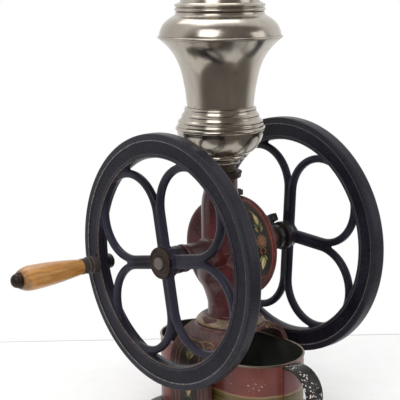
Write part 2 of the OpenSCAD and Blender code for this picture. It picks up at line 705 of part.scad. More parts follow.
function urn_radius(t) = urn_waist_r + 11 * t + (urn_r - 2.4 - urn_waist_r - 11) * pow(t, 4);

module hopper_urn() {
  height = girdle_z - collar_top + 6;
  color([0.66, 0.63, 0.57]) on_hopper(collar_top - 6) difference() {
    union() {
      cylinder(r = urn_waist_r, h = 6 + 0.01);
      translate([0, 0, 6]) rotate_extrude() polygon(concat([[0, 0]],
        [for (i = [0 : 24]) [urn_radius(i / 24), (height - 6) * i / 24]], [[0, height - 6]]));
    }
    translate([0, 0, -cut]) cylinder(r = urn_waist_r - sheet_t, h = 8);
    translate([0, 0, 6]) rotate_extrude() polygon(concat([[0, 0]],
      [for (i = [0 : 24]) [urn_radius(i / 24) - sheet_t, (height - 6) * i / 24 + (i == 24 ? cut : 0)]],
      [[0, height - 6 + cut]]));
  }
}

module urn_girdle() {
  color([0.70, 0.67, 0.60]) on_hopper(girdle_z + 0.05) difference() {
    rotate_extrude() polygon(concat([[0, 0], [urn_r - 2.4, 0]], quarter(urn_r - 2.4, 2.4, 2.4, -90, 90, 12),
      [[0, 4.8]]));
    translate([0, 0, -cut]) cylinder(r = urn_r - 2.4 - sheet_t, h = 10);
  }
}

function shoulder_radius(t) = mouth_r + 6 + (urn_r - mouth_r - 8.5) * (0.5 + 0.5 * cos(180 * pow(t, 1.6)));

module hopper_shoulder() {
  height = mouth_z - girdle_z - 4.9;
  color([0.68, 0.65, 0.58]) on_hopper(girdle_z + 4.9) difference() {
    rotate_extrude() polygon(concat([[0, 0]],
      [for (i = [0 : 20]) [shoulder_radius(i / 20), height * i / 20]], [[0, height]]));
    translate([0, 0, -cut]) rotate_extrude() polygon(concat([[0, 0]],
      [for (i = [0 : 20])
        [shoulder_radius(i / 20) - sheet_t - 0.4, (height - 1.6) * i / 20 + (i == 0 ? 0 : cut)]],
      [[mouth_r, height - 1.6 + cut], [mouth_r, height + 3], [0, height + 3]]));
  }
}

// ---- Lid ----
lid_z = mouth_z + 0.4;
lid_rim_h = 14;

module lid_rim() {
  color([0.68, 0.65, 0.58]) on_hopper(lid_z) difference() {
    union() {
      rotate_extrude() polygon(concat([[0, 0], [mouth_r + 4, 0]], quarter(mouth_r + 4.5, 3, 3, -80, 70, 8),
        quarter(mouth_r + 4.2, 9.2, 3.4, -70, 70, 8),
        [[mouth_r + 2, 13], [mouth_r - 1, lid_rim_h], [0, lid_rim_h]]));
      translate([0, 0, -10]) cylinder(r = mouth_r - 0.6, h = 11);
    }
    translate([0, 0, -13]) cylinder(r = mouth_r - 0.6 - sheet_t, h = 40);
  }
}

function dome_radius(t) = (mouth_r - 1.2) * (0.82 * cos(90 * t) + 0.18 * (1 - t));

module lid_dome() {
  color([0.66, 0.63, 0.57]) on_hopper(lid_z + lid_rim_h) difference() {
    rotate_extrude() polygon(concat([[0, 0]],
      [for (i = [0 : 20]) [dome_radius(i / 20) + 3 * i / 20, dome_h * sin(90 * i / 20)]], [[0, dome_h]]));
    translate([0, 0, -0.01]) rotate_extrude() polygon(concat([[0, 0]],
      [for (i = [0 : 20]) [max(0.1, dome_radius(i / 20) - sheet_t), (dome_h - sheet_t) * sin(90 * i / 20)]],
      [[0, dome_h - sheet_t]]));
    cylinder(r = 2.5 + seat_gap, h = 100);
  }
}

module lid_knob() {
  color([0.70, 0.67, 0.60]) on_hopper(lid_z + lid_rim_h) {
    translate([0, 0, dome_h + 0.1])
      rotate_extrude() polygon(concat([[0, 0], [11, 0], [12, 1.5], [9, 3.4], [5.5, 6]],
      quarter(4.6, 0.22 * knob_h, 2.4, -70, 70, 6),
      [for (i = [0 : 14]) let (a = -70 + 146 * i / 14) [14 * cos(a), 0.6 * knob_h + 0.3 * knob_h * sin(a)]],
      quarter(2.4, 0.93 * knob_h, 1.2, -40, 60, 4), [[1, knob_h], [0, knob_h]]));
    translate([0, 0, dome_h - 8]) cylinder(r = 2.5, h = 8.5);
  }
}

// ---- Receiving can ----
module can_body() {
  color([0.45, 0.22, 0.20]) translate([0, 0, can_floor]) difference() {
    linear_extrude(can_h) oval(can_end_r, can_span);
    translate([0, 0, -cut]) linear_extrude(can_h + 2 * cut) oval(can_end_r - can_wall, can_span);
  }
}

module can_bottom() {
  color([0.08, 0.08, 0.08]) translate([0, 0, can_floor + 2])
    linear_extrude(1.5) oval(can_end_r - can_wall - seat_gap, can_span);
}

module can_wire() {
  color([0.70, 0.66, 0.58]) translate([0, 0, can_rim_z + can_wire_r + 0.05]) {
    for (s = [-1, 1]) translate([0, s * can_span / 2, 0]) rotate([0, 0, s > 0 ? 0 : 180])
      rotate_extrude(angle = 180) translate([can_end_r - can_wall / 2, 0]) circle(can_wire_r, $fn = 32);
    for (s = [-1, 1]) translate([s * (can_end_r - can_wall / 2), can_span / 2, 0]) rotate([90, 0, 0])
      cylinder(r = can_wire_r, h = can_span, $fn = 32);
  }
}

strap_y = can_span / 2 + can_end_r + 0.1;
strap_top = can_rim_z - 2;
strap_bottom = can_floor + 24;

module strap_outline(inset) {
  bend_r = (strap_top - strap_bottom) / 2;
  translate([bend_r - strap_reach, strap_bottom + bend_r]) circle(bend_r - inset);
  translate([bend_r - strap_reach, strap_bottom + inset])
    square([strap_reach - bend_r, 2 * (bend_r - inset)]);
}

// Strap handle: a bent band with two flat ends that lie against the can
module can_handle() {
  color([0.07, 0.07, 0.07]) translate([0, -strap_y, 0]) rotate([90, 0, 90])
    linear_extrude(strap_w, center = true) {
    difference() {
      strap_outline(0);
      strap_outline(strap_t);
      translate([-0.01, 0]) square([60, 400]);
      translate([-4, strap_bottom + strap_t]) square([10, strap_top - strap_bottom - 2 * strap_t]);
    }
    translate([-strap_t, strap_top - 16]) square([strap_t, 16]);
    translate([-strap_t, strap_bottom]) square([strap_t, 16]);
  }
}

module handle_rivets() {
  color([0.25, 0.23, 0.22]) for (x = [-7, 7], z = [strap_top - 9, strap_bottom + 9])
    translate([x, -strap_y - strap_t, z]) rotate([90, 0, 0]) cylinder(r1 = 2.6, r2 = 1.6, h = 1.4, $fn = 32);
}

base_plate();
base_arch();
arch_bolts();
mill_column();
mill_body();
column_bolts();
housing_cover();
cover_screws();
top_bolt();
near_bush();
far_bush();
fixed_burr();
turning_burr();
burr_key();
feed_worm();
main_shaft();
near_wheel();
far_wheel();
wheel_keys();
thrust_washer();
grind_nut();
lock_screw();
crank_pin();
rim_nut();
grip();
grip_ferrule();
grip_nut();
neck_nut();
hopper_neck();
hopper_bowl();
hopper_collar();
hopper_urn();
urn_girdle();
hopper_shoulder();
lid_rim();
lid_dome();
lid_knob();
can_body();
can_bottom();
can_wire();
can_handle();
handle_rivets();
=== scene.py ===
# Counter coffee mill: cast body, two flywheels, nickel hopper, oval can.
# Sizes are millimetres, but metres in the finishes and the studio.
import math
import bpy
import bmesh
import numpy as np
from mathutils import Matrix, Vector


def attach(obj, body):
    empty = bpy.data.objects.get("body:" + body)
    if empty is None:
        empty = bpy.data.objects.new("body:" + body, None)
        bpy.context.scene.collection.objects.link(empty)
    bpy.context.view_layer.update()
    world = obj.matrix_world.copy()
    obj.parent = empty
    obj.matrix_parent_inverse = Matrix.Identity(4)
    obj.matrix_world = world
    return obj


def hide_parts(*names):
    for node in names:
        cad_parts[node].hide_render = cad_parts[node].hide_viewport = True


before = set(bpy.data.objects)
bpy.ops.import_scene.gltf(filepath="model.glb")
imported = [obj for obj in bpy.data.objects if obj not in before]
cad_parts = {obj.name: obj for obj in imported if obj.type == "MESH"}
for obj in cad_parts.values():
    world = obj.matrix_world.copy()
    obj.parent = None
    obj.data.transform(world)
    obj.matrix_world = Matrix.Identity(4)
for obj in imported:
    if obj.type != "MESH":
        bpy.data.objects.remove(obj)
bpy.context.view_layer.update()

tau = 2 * math.pi
shaftZ = 280.0
shaftAt = (0, 0, shaftZ)
hopperAt = (-19.6, 0, 0)
columnAt = (0, 0, 0)


def columns(*values):
    # the values side by side as the last axis of one array; single numbers are repeated
    return np.stack(np.broadcast_arrays(*values), -1)


def turns(count):
    # equal steps round a full turn
    return np.linspace(0, tau, count, endpoint=False)


def unit(vectors):
    # each row divided by its length
    return vectors / np.linalg.norm(vectors, axis=-1, keepdims=True)


def heading(line):
    # unit direction of the line at each of its points
    return unit(np.gradient(line, axis=0))


def rounded(points, steps=6):
    # an open outline whose corners are cut back by their third value and bridged by a parabola
    p = np.array([q[:2] for q in points], float)
    out = [p[:1]]
    for i in range(1, len(p) - 1):
        cut = points[i][2] if len(points[i]) > 2 else 0
        if not cut:
            out.append(p[i:i + 1])
            continue
        a, b = p[i - 1] - p[i], p[i + 1] - p[i]
        a = p[i] + a * min(cut / np.linalg.norm(a), 0.49)
        b = p[i] + b * min(cut / np.linalg.norm(b), 0.49)
        t = np.linspace(0, 1, steps)[:, None]
        out.append((1 - t) ** 2 * a + 2 * t * (1 - t) * p[i] + t * t * b)
    return np.vstack(out + [p[-1:]])


def smoothLine(points, count):
    # a curve through the points: cubic pieces whose slope at a point follows its two neighbours
    p = np.array(points, float)
    q = np.vstack([2 * p[0] - p[1], p, 2 * p[-1] - p[-2]])
    u = np.linspace(0, len(p) - 1 - 1e-9, count)
    i = u.astype(int)
    t = (u - i)[:, None]
    a, b, c, d = q[i], q[i + 1], q[i + 2], q[i + 3]
    return 0.5 * (2 * b + (c - a) * t + (2 * a - 5 * b + 4 * c - d) * t ** 2 + (3 * b - 3 * c + d - a) * t ** 3)


def loop(*outlines):
    # the outlines joined, and closed by the first point
    joined = np.vstack(outlines)
    return np.vstack([joined, joined[:1]])


def gridFaces(rows, cols, wrapRows, wrapCols):
    # one quad for each cell of the grid; a wrapped side also joins its last line to its first
    i = np.arange(rows if wrapRows else rows - 1)[:, None]
    j = np.arange(cols if wrapCols else cols - 1)[None, :]
    i2, j2 = (i + 1) % rows, (j + 1) % cols
    return np.stack([i * cols + j, i2 * cols + j, i2 * cols + j2, i * cols + j2], -1).reshape(-1, 4)


def surface(*grids):
    # one mesh from several (points, wrapRows, wrapCols) grids, points in millimetres
    verts, faces, start = [], [], 0
    for points, wrapRows, wrapCols in grids:
        rows, cols = points.shape[:2]
        verts.append(points.reshape(-1, 3) * 0.001)
        faces.append(gridFaces(rows, cols, wrapRows, wrapCols) + start)
        start += rows * cols
    mesh = bpy.data.meshes.new("surface")
    mesh.from_pydata(np.vstack(verts), [], np.vstack(faces).tolist())
    return mesh


def lathe(profile, at, axis, steps, square=None):
    # profile (radius, height) turned about an axis; square cuts it to a square across that width
    a = turns(steps)[:, None]
    r, h = profile[None, :, 0], profile[None, :, 1]
    if square:
        r = np.minimum(r, square / 2 / np.cos((a + tau / 8) % (tau / 4) - tau / 8))
    one, two = r * np.cos(a), r * np.sin(a)
    grid = columns(one, two, h) if axis == "z" else columns(h, one, two)
    return grid + np.array(at, float), True, False


def power(values, exponent):
    # the values' sizes raised to 2 / exponent, with their signs kept: the bend of a superellipse
    return np.sign(values) * np.abs(values) ** (2 / exponent)


def sweep(path, side, out, width, depth, count, exponent):
    # a superellipse, half sizes width along side and depth along out, carried along a path; ends closed
    b, side, out = turns(count), np.broadcast_to(side, path.shape), np.broadcast_to(out, path.shape)
    u, v = (power(value, exponent)[None, :, None] for value in (np.cos(b), np.sin(b)))
    width, depth = np.asarray(width)[..., None, None], np.asarray(depth)[..., None, None]
    grid = path[:, None, :] + width * u * side[:, None, :] + depth * v * out[:, None, :]
    ends = np.repeat(path[[0, -1]][:, None, :], count, 1)
    return np.concatenate([ends[:1], grid, ends[1:]]), False, True


def bar(low, high, exponent):
    # a rounded block: a superellipsoid that fills the box from low to high
    low, high = np.array(low, float), np.array(high, float)
    a, b = turns(56)[:, None], np.linspace(-tau / 4, tau / 4, 28)[None, :]
    x, y, flat, z = (power(value, exponent) for value in (np.cos(a), np.sin(a), np.cos(b), np.sin(b)))
    grid = columns(x * flat, y * flat, z)
    return (low + high) / 2 + grid * (high - low) / 2, True, False


def turned(grid, pivot, angle):
    # the same grid turned about a line through pivot along X
    m = np.array(Matrix.Rotation(math.radians(angle), 3, "X"))
    return ((grid[0] - np.array(pivot)) @ m.T + np.array(pivot), *grid[1:])


def linked(name, data):
    # a new object of the scene
    obj = bpy.data.objects.new(name, data)
    bpy.context.scene.collection.objects.link(obj)
    return obj


def cleaned(mesh):
    # doubled points merged and faces turned outwards, in place
    bm = bmesh.new()
    bm.from_mesh(mesh)
    bmesh.ops.remove_doubles(bm, verts=bm.verts, dist=2e-6)
    bmesh.ops.recalc_face_normals(bm, faces=bm.faces)
    bm.to_mesh(mesh)
    bm.free()
    return mesh


def applied(obj):
    # the object's mesh as its modifiers leave it; the object goes
    result = bpy.data.meshes.new_from_object(obj.evaluated_get(bpy.context.evaluated_depsgraph_get()))
    bpy.data.objects.remove(obj, do_unlink=True)
    return result


def fused(mesh, cell, rounds):
    # overlapping closed surfaces become one skin of small cells, whose corners are then relaxed into fillets
    obj = linked("fused", cleaned(mesh))
    skin = obj.modifiers.new("Skin", "REMESH")
    skin.mode, skin.voxel_size = "VOXEL", cell * 0.001
    relax = obj.modifiers.new("Relax", "SMOOTH")
    relax.factor, relax.iterations = 0.5, rounds
    return applied(obj)


def drilled(mesh, *cutters):
    # the mesh with closed cutter shapes taken away
    host, tool = linked("drillHost", mesh), linked("drillTool", surface(*cutters))
    cut = host.modifiers.new("holes", "BOOLEAN")
    cut.operation, cut.solver, cut.object = "DIFFERENCE", "EXACT", tool
    result = applied(host)
    bpy.data.objects.remove(tool, do_unlink=True)
    return result


def reshaped(mesh, rule):
    # the mesh's points, in millimetres, changed in place by rule
    points = np.zeros(len(mesh.vertices) * 3)
    mesh.vertices.foreach_get("co", points)
    points = points.reshape(-1, 3) * 1000
    rule(points)
    mesh.vertices.foreach_set("co", (points / 1000).ravel())
    return mesh


def piece(name, mesh, body, slot, finish, nodes, sharp=38):
    # one visible piece on its body, in place of its CAD nodes; edges past the sharp angle stay crisp
    obj = linked(name, mesh)
    mesh.shade_smooth()
    mesh.set_sharp_from_angle(angle=math.radians(sharp))
    mesh.materials.clear()
    mesh.materials.append(made[finish])
    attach(obj, body)
    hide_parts(*nodes)


def built(name, grids, *rest):
    # a piece from closed grids
    piece(name, cleaned(surface(*grids)), *rest)


def spun(name, outline, at, axis, steps, *rest, square=None):
    # a piece from one outline turned about its axis
    built(name, [lathe(outline, at, axis, steps, square)], *rest)


# shading
class Shade:
    # a node tree being filled: each call adds a node and hands back what it gives
    def __init__(self, tree):
        self.tree = tree

    def node(self, kind, inputs, **settings):
        # a node with its settings; each input gets a link where its value is a socket
        node = self.tree.nodes.new("ShaderNode" + kind)
        for key, value in settings.items():
            setattr(node, key, value)
        for key, value in inputs.items():
            self.feed(node.inputs[key], value)
        return node.outputs

    def feed(self, socket, value):
        # a link or a fixed value; a colour given as three numbers is made opaque
        if isinstance(value, bpy.types.NodeSocket):
            self.tree.links.new(value, socket)
        else:
            socket.default_value = (*value, 1) if socket.type == "RGBA" else value

    def math(self, operation, first, *others):
        # the values joined from left to right by one operation; one value alone is its only input
        if not others:
            return self.node("Math", {0: first}, operation=operation)[0]
        for other in others:
            first = self.node("Math", {0: first, 1: other}, operation=operation)[0]
        return first

    def times(self, first, *others):
        # the product of all values
        return self.math("MULTIPLY", first, *others) if others else first

    def ramp(self, source, low, high, toLow=0.0, toHigh=1.0):
        # a smooth step of source between low and high
        span = {"Value": source, "From Min": low, "From Max": high, "To Min": toLow, "To Max": toHigh}
        return self.node("MapRange", span, interpolation_type="SMOOTHSTEP")[0]

    def over(self, base, paint, *masks):
        # paint over base by the product of the masks
        return self.node("Mix", {0: self.times(*masks), 6: base, 7: paint}, data_type="RGBA")[2]

    def place(self):
        # the point on the piece
        return self.node("TexCoord", {})["Object"]

    def split(self, vector):
        # its X, Y and Z
        return self.node("SeparateXYZ", {"Vector": vector})

    def noise(self, vector, scale, detail=4.0, roughness=0.55, **more):
        # cloudy noise of the given fineness
        return self.node("TexNoise", {"Vector": vector, "Scale": scale, "Detail": detail, "Roughness": roughness,
                                      **more})[0]

    def group(self, shared, **values):
        # a shared effect with its settings
        node = self.tree.nodes.new("ShaderNodeGroup")
        node.node_tree = shared
        for key, value in values.items():
            node.inputs[key].default_value = value
        return node.outputs

    def finish(self, colour, rough, height, strength, distance=0.0006):
        # what the shader shows: colour, roughness from (source, low, high), and bumps from a height
        sockets = self.tree.nodes["Principled BSDF"].inputs
        source, low, high = rough
        relief = self.node("Bump", {"Height": height, "Strength": strength, "Distance": distance})[0]
        for key, value in (("Base Color", colour), ("Roughness", self.ramp(source, 0, 1, low, high)),
                           ("Normal", relief)):
            self.feed(sockets[key], value)


def sharedEffect(name, inputs, work):
    # a node group: inputs are labels with default values, and work returns its results by label
    group = bpy.data.node_groups.new(name, "ShaderNodeTree")
    for label, value in inputs.items():
        kind = "NodeSocketFloat" if isinstance(value, float) else "NodeSocketVector"
        group.interface.new_socket(label, in_out="INPUT", socket_type=kind).default_value = value
    results = work(Shade(group), group.nodes.new("NodeGroupInput").outputs)
    for label in results:
        group.interface.new_socket(label, in_out="OUTPUT", socket_type="NodeSocketFloat")
    taken = group.nodes.new("NodeGroupOutput").inputs
    for label, socket in results.items():
        group.links.new(socket, taken[label])
    return group


def edgeWearWork(s, given):
    # mask of rubbed edges: where the surface is sharply convex, broken up by noise
    point = s.node("NewGeometry", {})["Pointiness"]
    noise = s.noise(s.place(), given["Scale"], 6.0, 0.65)
    edge = s.times(s.math("SUBTRACT", point, given["Start"]), 14.0)
    spread = s.math("ADD", edge, s.times(s.math("SUBTRACT", noise, 0.5), 1.1))
    return {"Mask": s.times(s.ramp(spread, 0.12, 0.5), given["Amount"])}


def cloudsWork(s, given):
    # two sizes of unevenness, for tone, gloss and height
    moved = s.node("Mapping", {"Vector": s.place(), "Scale": given["Stretch"]})[0]
    broad = s.noise(moved, given["Broad"], 5.0, 0.5)
    fine = s.noise(moved, given["Fine"], 6.0, 0.7)
    return {"Tone": s.ramp(broad, 0.3, 0.7), "Gloss": s.ramp(s.times(broad, fine), 0.12, 0.4), "Height": fine}


def wheelPlaceWork(s, given):
    # Away: distance from the shaft's axis; Along: |x|; Side: how far |x| is from the wheels' middle plane
    x, y, z = s.split(s.place())
    rise = s.math("SUBTRACT", z, given["Axis"])
    along = s.math("ABSOLUTE", x)
    away = s.math("POWER", s.math("ADD", s.times(y, y), s.times(rise, rise)), 0.5)
    return {"Away": away, "Along": along, "Side": s.math("ABSOLUTE", s.math("SUBTRACT", along, given["Plane"]))}


edgeWear = sharedEffect("edgeWear", {"Amount": 1.0, "Scale": 60.0, "Start": 0.53}, edgeWearWork)
clouds = sharedEffect("clouds", {"Broad": 14.0, "Fine": 160.0, "Stretch": (1, 1, 1)}, cloudsWork)
wheelPlace = sharedEffect("wheelPlace", {"Axis": 0.28, "Plane": 0.133}, wheelPlaceWork)
made = {}


def newMaterial(name, metallic=0.0, coat=0.0, coatRough=0.03, specular=0.5):
    # a Principled material with its fixed values
    made[name] = material = bpy.data.materials.new(name)
    material.use_nodes = True
    sockets = material.node_tree.nodes["Principled BSDF"].inputs
    for key, value in (("Metallic", metallic), ("Coat Weight", coat), ("Coat Roughness", coatRough),
                       ("Specular IOR Level", specular)):
        sockets[key].default_value = value
    return Shade(material.node_tree)


# colours are dark and light clouds and the rubbed edges; broad and fine are the sizes of the unevenness
enamelLook = dict(metallic=0.0, coat=0.2, specular=0.4, broad=14.0, fine=260.0, wear=0.8, wearScale=70.0,
                  rough=(0.28, 0.5), bump=0.25)
metalLook = dict(metallic=1.0, coat=0.0, specular=0.5, broad=20.0, fine=300.0, wear=0.5, wearScale=90.0,
                 rough=(0.35, 0.6), bump=0.2)
redLook = dict(enamelLook, dark=(0.045, 0.0105, 0.0115), light=(0.098, 0.0215, 0.0225), worn=(0.17, 0.105, 0.095),
               wear=0.7, rough=(0.24, 0.42), broad=24.0, specular=0.35, coat=0.12)
finishes = {
    # rings are bands on the wheel: inner and outer distance from the shaft, least distance from the wheel's plane,
    # colour and strength; oiled is a stain round the shaft: from and to |x|, colour and strength
    "wheelEnamel": dict(enamelLook, dark=(0.0105, 0.0100, 0.0155), light=(0.026, 0.0240, 0.038),
                        worn=(0.13, 0.105, 0.085), rough=(0.22, 0.38), coat=0.03, specular=0.10,
                        oiled=(0.090, 0.121, (0.024, 0.017, 0.015), 0.8),
                        rings=[(0.1665, 0.1852, 0.0070, (0.0048, 0.0042, 0.0075), 0.85),
                               (0.1868, 0.1975, 0.0, (0.025, 0.024, 0.027), 0.75),
                               # the next band, a thin pale line where the outer lip meets the sunk band, is worn paint
                               # together with a painted highlight
                               (0.1858, 0.1870, 0.0085, (0.30, 0.28, 0.27), 0.6),
                               (0.1608, 0.1622, 0.0075, (0.18, 0.14, 0.11), 0.6),
                               (0.1655, 0.1668, 0.0085, (0.11, 0.09, 0.08), 0.4)]),
    "bodyRed": dict(redLook, oiled=(0.044, 0.130, (0.040, 0.020, 0.018), 0.9)),
    "coverRed": dict(redLook, oiled=(0.044, 0.130, (0.090, 0.052, 0.044), 0.8)),
    "agedIron": dict(enamelLook, dark=(0.036, 0.029, 0.025), light=(0.090, 0.073, 0.062), worn=(0.15, 0.12, 0.10),
                     wear=0.6, rough=(0.42, 0.62), specular=0.3, coat=0.0, bump=0.5),
    "archPaint": dict(enamelLook, dark=(0.062, 0.024, 0.023), light=(0.135, 0.062, 0.055), worn=(0.24, 0.17, 0.14),
                      wear=0.7, rough=(0.3, 0.5), broad=24.0, specular=0.35, coat=0.1),
    "canLining": dict(enamelLook, dark=(0.024, 0.026, 0.024), light=(0.052, 0.055, 0.050), worn=(0.05, 0.045, 0.04),
                      wear=0.3, rough=(0.3, 0.5), broad=26.0),
    "blackEnamel": dict(enamelLook, dark=(0.006, 0.006, 0.007), light=(0.016, 0.015, 0.016), worn=(0.07, 0.06, 0.05),
                        wear=0.5, rough=(0.3, 0.5), specular=0.3, coat=0.1),
    "darkSteel": dict(metalLook, dark=(0.03, 0.03, 0.032), light=(0.08, 0.078, 0.078), worn=(0.25, 0.22, 0.2)),
    "brownIron": dict(metalLook, dark=(0.026, 0.019, 0.016), light=(0.080, 0.060, 0.050), worn=(0.17, 0.14, 0.12),
                      rough=(0.4, 0.65), bump=0.4),
    "burrIron": dict(metalLook, dark=(0.16, 0.15, 0.14), light=(0.32, 0.31, 0.29), worn=(0.5, 0.48, 0.45),
                     rough=(0.3, 0.5)),
    "brass": dict(metalLook, dark=(0.35, 0.22, 0.08), light=(0.62, 0.44, 0.20), worn=(0.7, 0.55, 0.3),
                  rough=(0.25, 0.45)),
    "tinEdge": dict(metalLook, dark=(0.15, 0.115, 0.09), light=(0.36, 0.30, 0.24), worn=(0.5, 0.44, 0.38),
                    rough=(0.3, 0.5)),
}


def coated(name, look):
    # enamel or bare metal: uneven tone, rubbed edges, uneven gloss, and the wheel's rings or the shaft's oil
    s = newMaterial(name, look["metallic"], look["coat"], 0.2, look["specular"])
    cloud = s.group(clouds, Broad=look["broad"], Fine=look["fine"])
    wear = s.group(edgeWear, Amount=look["wear"], Scale=look["wearScale"])
    colour = s.over(look["dark"], look["light"], cloud["Tone"])
    colour = s.over(colour, look["worn"], wear["Mask"])
    if "oiled" in look:
        spot = s.group(wheelPlace)
        for low, high, face, paint, strength in look.get("rings", []):
            colour = s.over(colour, paint, s.ramp(spot["Away"], low - 0.0004, low + 0.0002),
                            s.ramp(spot["Away"], high + 0.0004, high - 0.0002),
                            s.ramp(spot["Side"], face, face + 0.0004), s.ramp(cloud["Height"], 0.34, 0.62, 0.25, 1.0),
                            strength)
        start, end, paint, strength = look["oiled"]
        grime = s.group(clouds, Broad=60.0, Fine=340.0, Stretch=(0.35, 1.0, 1.0))
        colour = s.over(colour, paint, s.ramp(spot["Along"], start, start + 0.012), s.ramp(spot["Away"], 0.030, 0.024),
                        s.ramp(spot["Along"], end + 0.003, end - 0.003), s.ramp(grime["Tone"], 0.0, 0.7, 0.55, 1.0),
                        strength)
    s.finish(colour, (cloud["Gloss"], *look["rough"]), cloud["Height"], look["bump"])


def nickelMaterial():
    # tarnished plating: cool silver under brownish clouds, upright streaks and runs, and spots
    s = newMaterial("nickel", metallic=1.0)
    cloud = s.group(clouds, Broad=9.0, Fine=120.0)
    streak = s.group(clouds, Broad=30.0, Fine=400.0, Stretch=(1.0, 1.0, 0.12))
    run = s.group(clouds, Broad=130.0, Fine=420.0, Stretch=(1.0, 1.0, 0.05))
    spots = s.ramp(s.noise(s.place(), 60.0, 6.0, 0.7), 0.60, 0.72)
    colour = s.over((0.36, 0.322, 0.275), (0.52, 0.482, 0.425), cloud["Tone"])
    for paint, mask, strength in (((0.28, 0.235, 0.18), streak["Tone"], 0.25), ((0.22, 0.18, 0.14), run["Tone"], 0.16),
                                  ((0.20, 0.165, 0.12), spots, 0.55)):
        colour = s.over(colour, paint, mask, strength)
    s.finish(colour, (cloud["Tone"], 0.15, 0.24), cloud["Tone"], 0.05)


def woodMaterial():
    # varnished turned wood: long grain along the grip, dark pores, rubbed pale bands and a dirty outer end
    s = newMaterial("gripWood", coat=0.45, coatRough=0.18)
    coords = s.place()
    moved = s.node("Mapping", {"Vector": coords, "Scale": (6, 70, 70)})[0]
    grain = s.noise(moved, 3.0, 8.0, 0.65, Distortion=0.6)
    pores = s.noise(moved, 14.0, 3.0, 0.5)
    cloud = s.group(clouds, Broad=45.0, Fine=300.0)
    dirty = s.ramp(s.math("ADD", s.split(coords)[0], s.times(cloud["Tone"], 0.012)), -0.270, -0.284)
    colour = s.over((0.36, 0.15, 0.030), (0.56, 0.27, 0.070), s.ramp(grain, 0.30, 0.72))
    for paint, mask, strength in (((0.17, 0.065, 0.015), s.ramp(pores, 0.55, 0.75), 0.35),
                                  ((0.64, 0.40, 0.17), s.ramp(cloud["Gloss"], 0.6, 1.0), 0.25),
                                  ((0.10, 0.05, 0.022), dirty, 0.75)):
        colour = s.over(colour, paint, mask, strength)
    s.finish(colour, (cloud["Gloss"], 0.3, 0.5), grain, 0.25, 0.0004)


def canMaterial():
    # lacquered tin: red above and below an olive band, edges brushed by hand, a seam at one end with a painted
    # reflection beside it, small bare chips
    s = newMaterial("canLacquer", coat=0.3, coatRough=0.16, specular=0.3)
    coords = s.place()
    x, y, z = s.split(coords)
    cloud = s.group(clouds, Broad=16.0, Fine=240.0)
    streak = s.group(clouds, Broad=60.0, Fine=300.0, Stretch=(0.4, 0.4, 6.0))
    height = s.math("ADD", z, s.times(s.math("SUBTRACT", s.noise(coords, 30.0), 0.5), 0.0035))
    nearEnd = s.ramp(y, -0.090, -0.110)
    red = s.over((0.120, 0.024, 0.019), (0.210, 0.050, 0.037), cloud["Tone"])
    # painted reflection: on the can's near end, right of the seam, the red turns lighter mauve where the glossy lacquer
    # would mirror the white room
    red = s.over(red, (0.165, 0.062, 0.066), nearEnd, s.ramp(x, -0.0150, -0.0138), 0.75)
    olive = s.over((0.062, 0.044, 0.013), (0.180, 0.128, 0.040), streak["Tone"])
    colour = s.over(red, olive, s.ramp(height, 0.0395, 0.0405), s.ramp(height, 0.0732, 0.0717))
    colour = s.over(colour, (0.36, 0.24, 0.12), s.ramp(height, 0.0697, 0.0717), s.ramp(height, 0.0747, 0.0732), 0.5)
    seam = s.times(s.ramp(x, -0.0166, -0.0156), s.ramp(x, -0.0136, -0.0146))
    colour = s.over(colour, (0.035, 0.012, 0.014), nearEnd, seam, 0.7)
    spot = s.node("VectorMath", {0: coords, 1: (-0.0527, -0.1141, 0.090)}, operation="DISTANCE")["Value"]
    flecks = s.math("ADD", s.noise(coords, 330.0, 2.0), s.ramp(spot, 0.020, 0.004, 0.0, 0.125))
    colour = s.over(colour, (0.66, 0.55, 0.45), s.ramp(flecks, 0.735, 0.75))
    s.finish(colour, (cloud["Gloss"], 0.32, 0.55), cloud["Height"], 0.15)


def chippedMaterial():
    # black lacquer with pale flakes: some cells of a bent cell pattern, in some zones
    s = newMaterial("chippedBlack", coat=0.1, specular=0.25)
    coords = s.place()
    cloud = s.group(clouds, Broad=20.0, Fine=260.0)
    wander = s.node("TexNoise", {"Vector": coords, "Scale": 300.0, "Detail": 3.0, "Roughness": 0.55})["Color"]
    wander = s.node("VectorMath", {0: wander, "Scale": 0.0026}, operation="SCALE")[0]
    bent = s.node("VectorMath", {0: coords, 1: wander}, operation="ADD")[0]
    cells = s.node("TexVoronoi", {"Vector": bent, "Scale": 290.0})
    chosen = s.ramp(s.node("SeparateColor", {0: cells["Color"]})[0], 0.52, 0.53)
    flakes = s.times(s.ramp(cells["Distance"], 0.46, 0.40), chosen)
    colour = s.over((0.007, 0.0065, 0.0065), (0.020, 0.019, 0.018), cloud["Tone"])
    colour = s.over(colour, (0.66, 0.57, 0.52), flakes, s.ramp(s.noise(coords, 46.0, 1.0), 0.38, 0.48))
    s.finish(colour, (cloud["Gloss"], 0.3, 0.5), flakes, 0.3, 0.0003)


def handPaintMaterial():
    # hand painting held as a colour on the mesh, thinned and dirtied by clouds
    s = newMaterial("handPaint", coat=0.05, specular=0.22)
    cloud = s.group(clouds, Broad=30.0, Fine=500.0)
    paint = s.node("Attribute", {}, attribute_name="paint")["Color"]
    s.finish(s.over(paint, (0.05, 0.028, 0.02), cloud["Gloss"], 0.35), (cloud["Tone"], 0.35, 0.55), cloud["Height"],
             0.2)


for name, look in finishes.items():
    coated(name, look)
for maker in (nickelMaterial, woodMaterial, canMaterial, chippedMaterial, handPaintMaterial):
    maker()
print("materials ready", len(made))

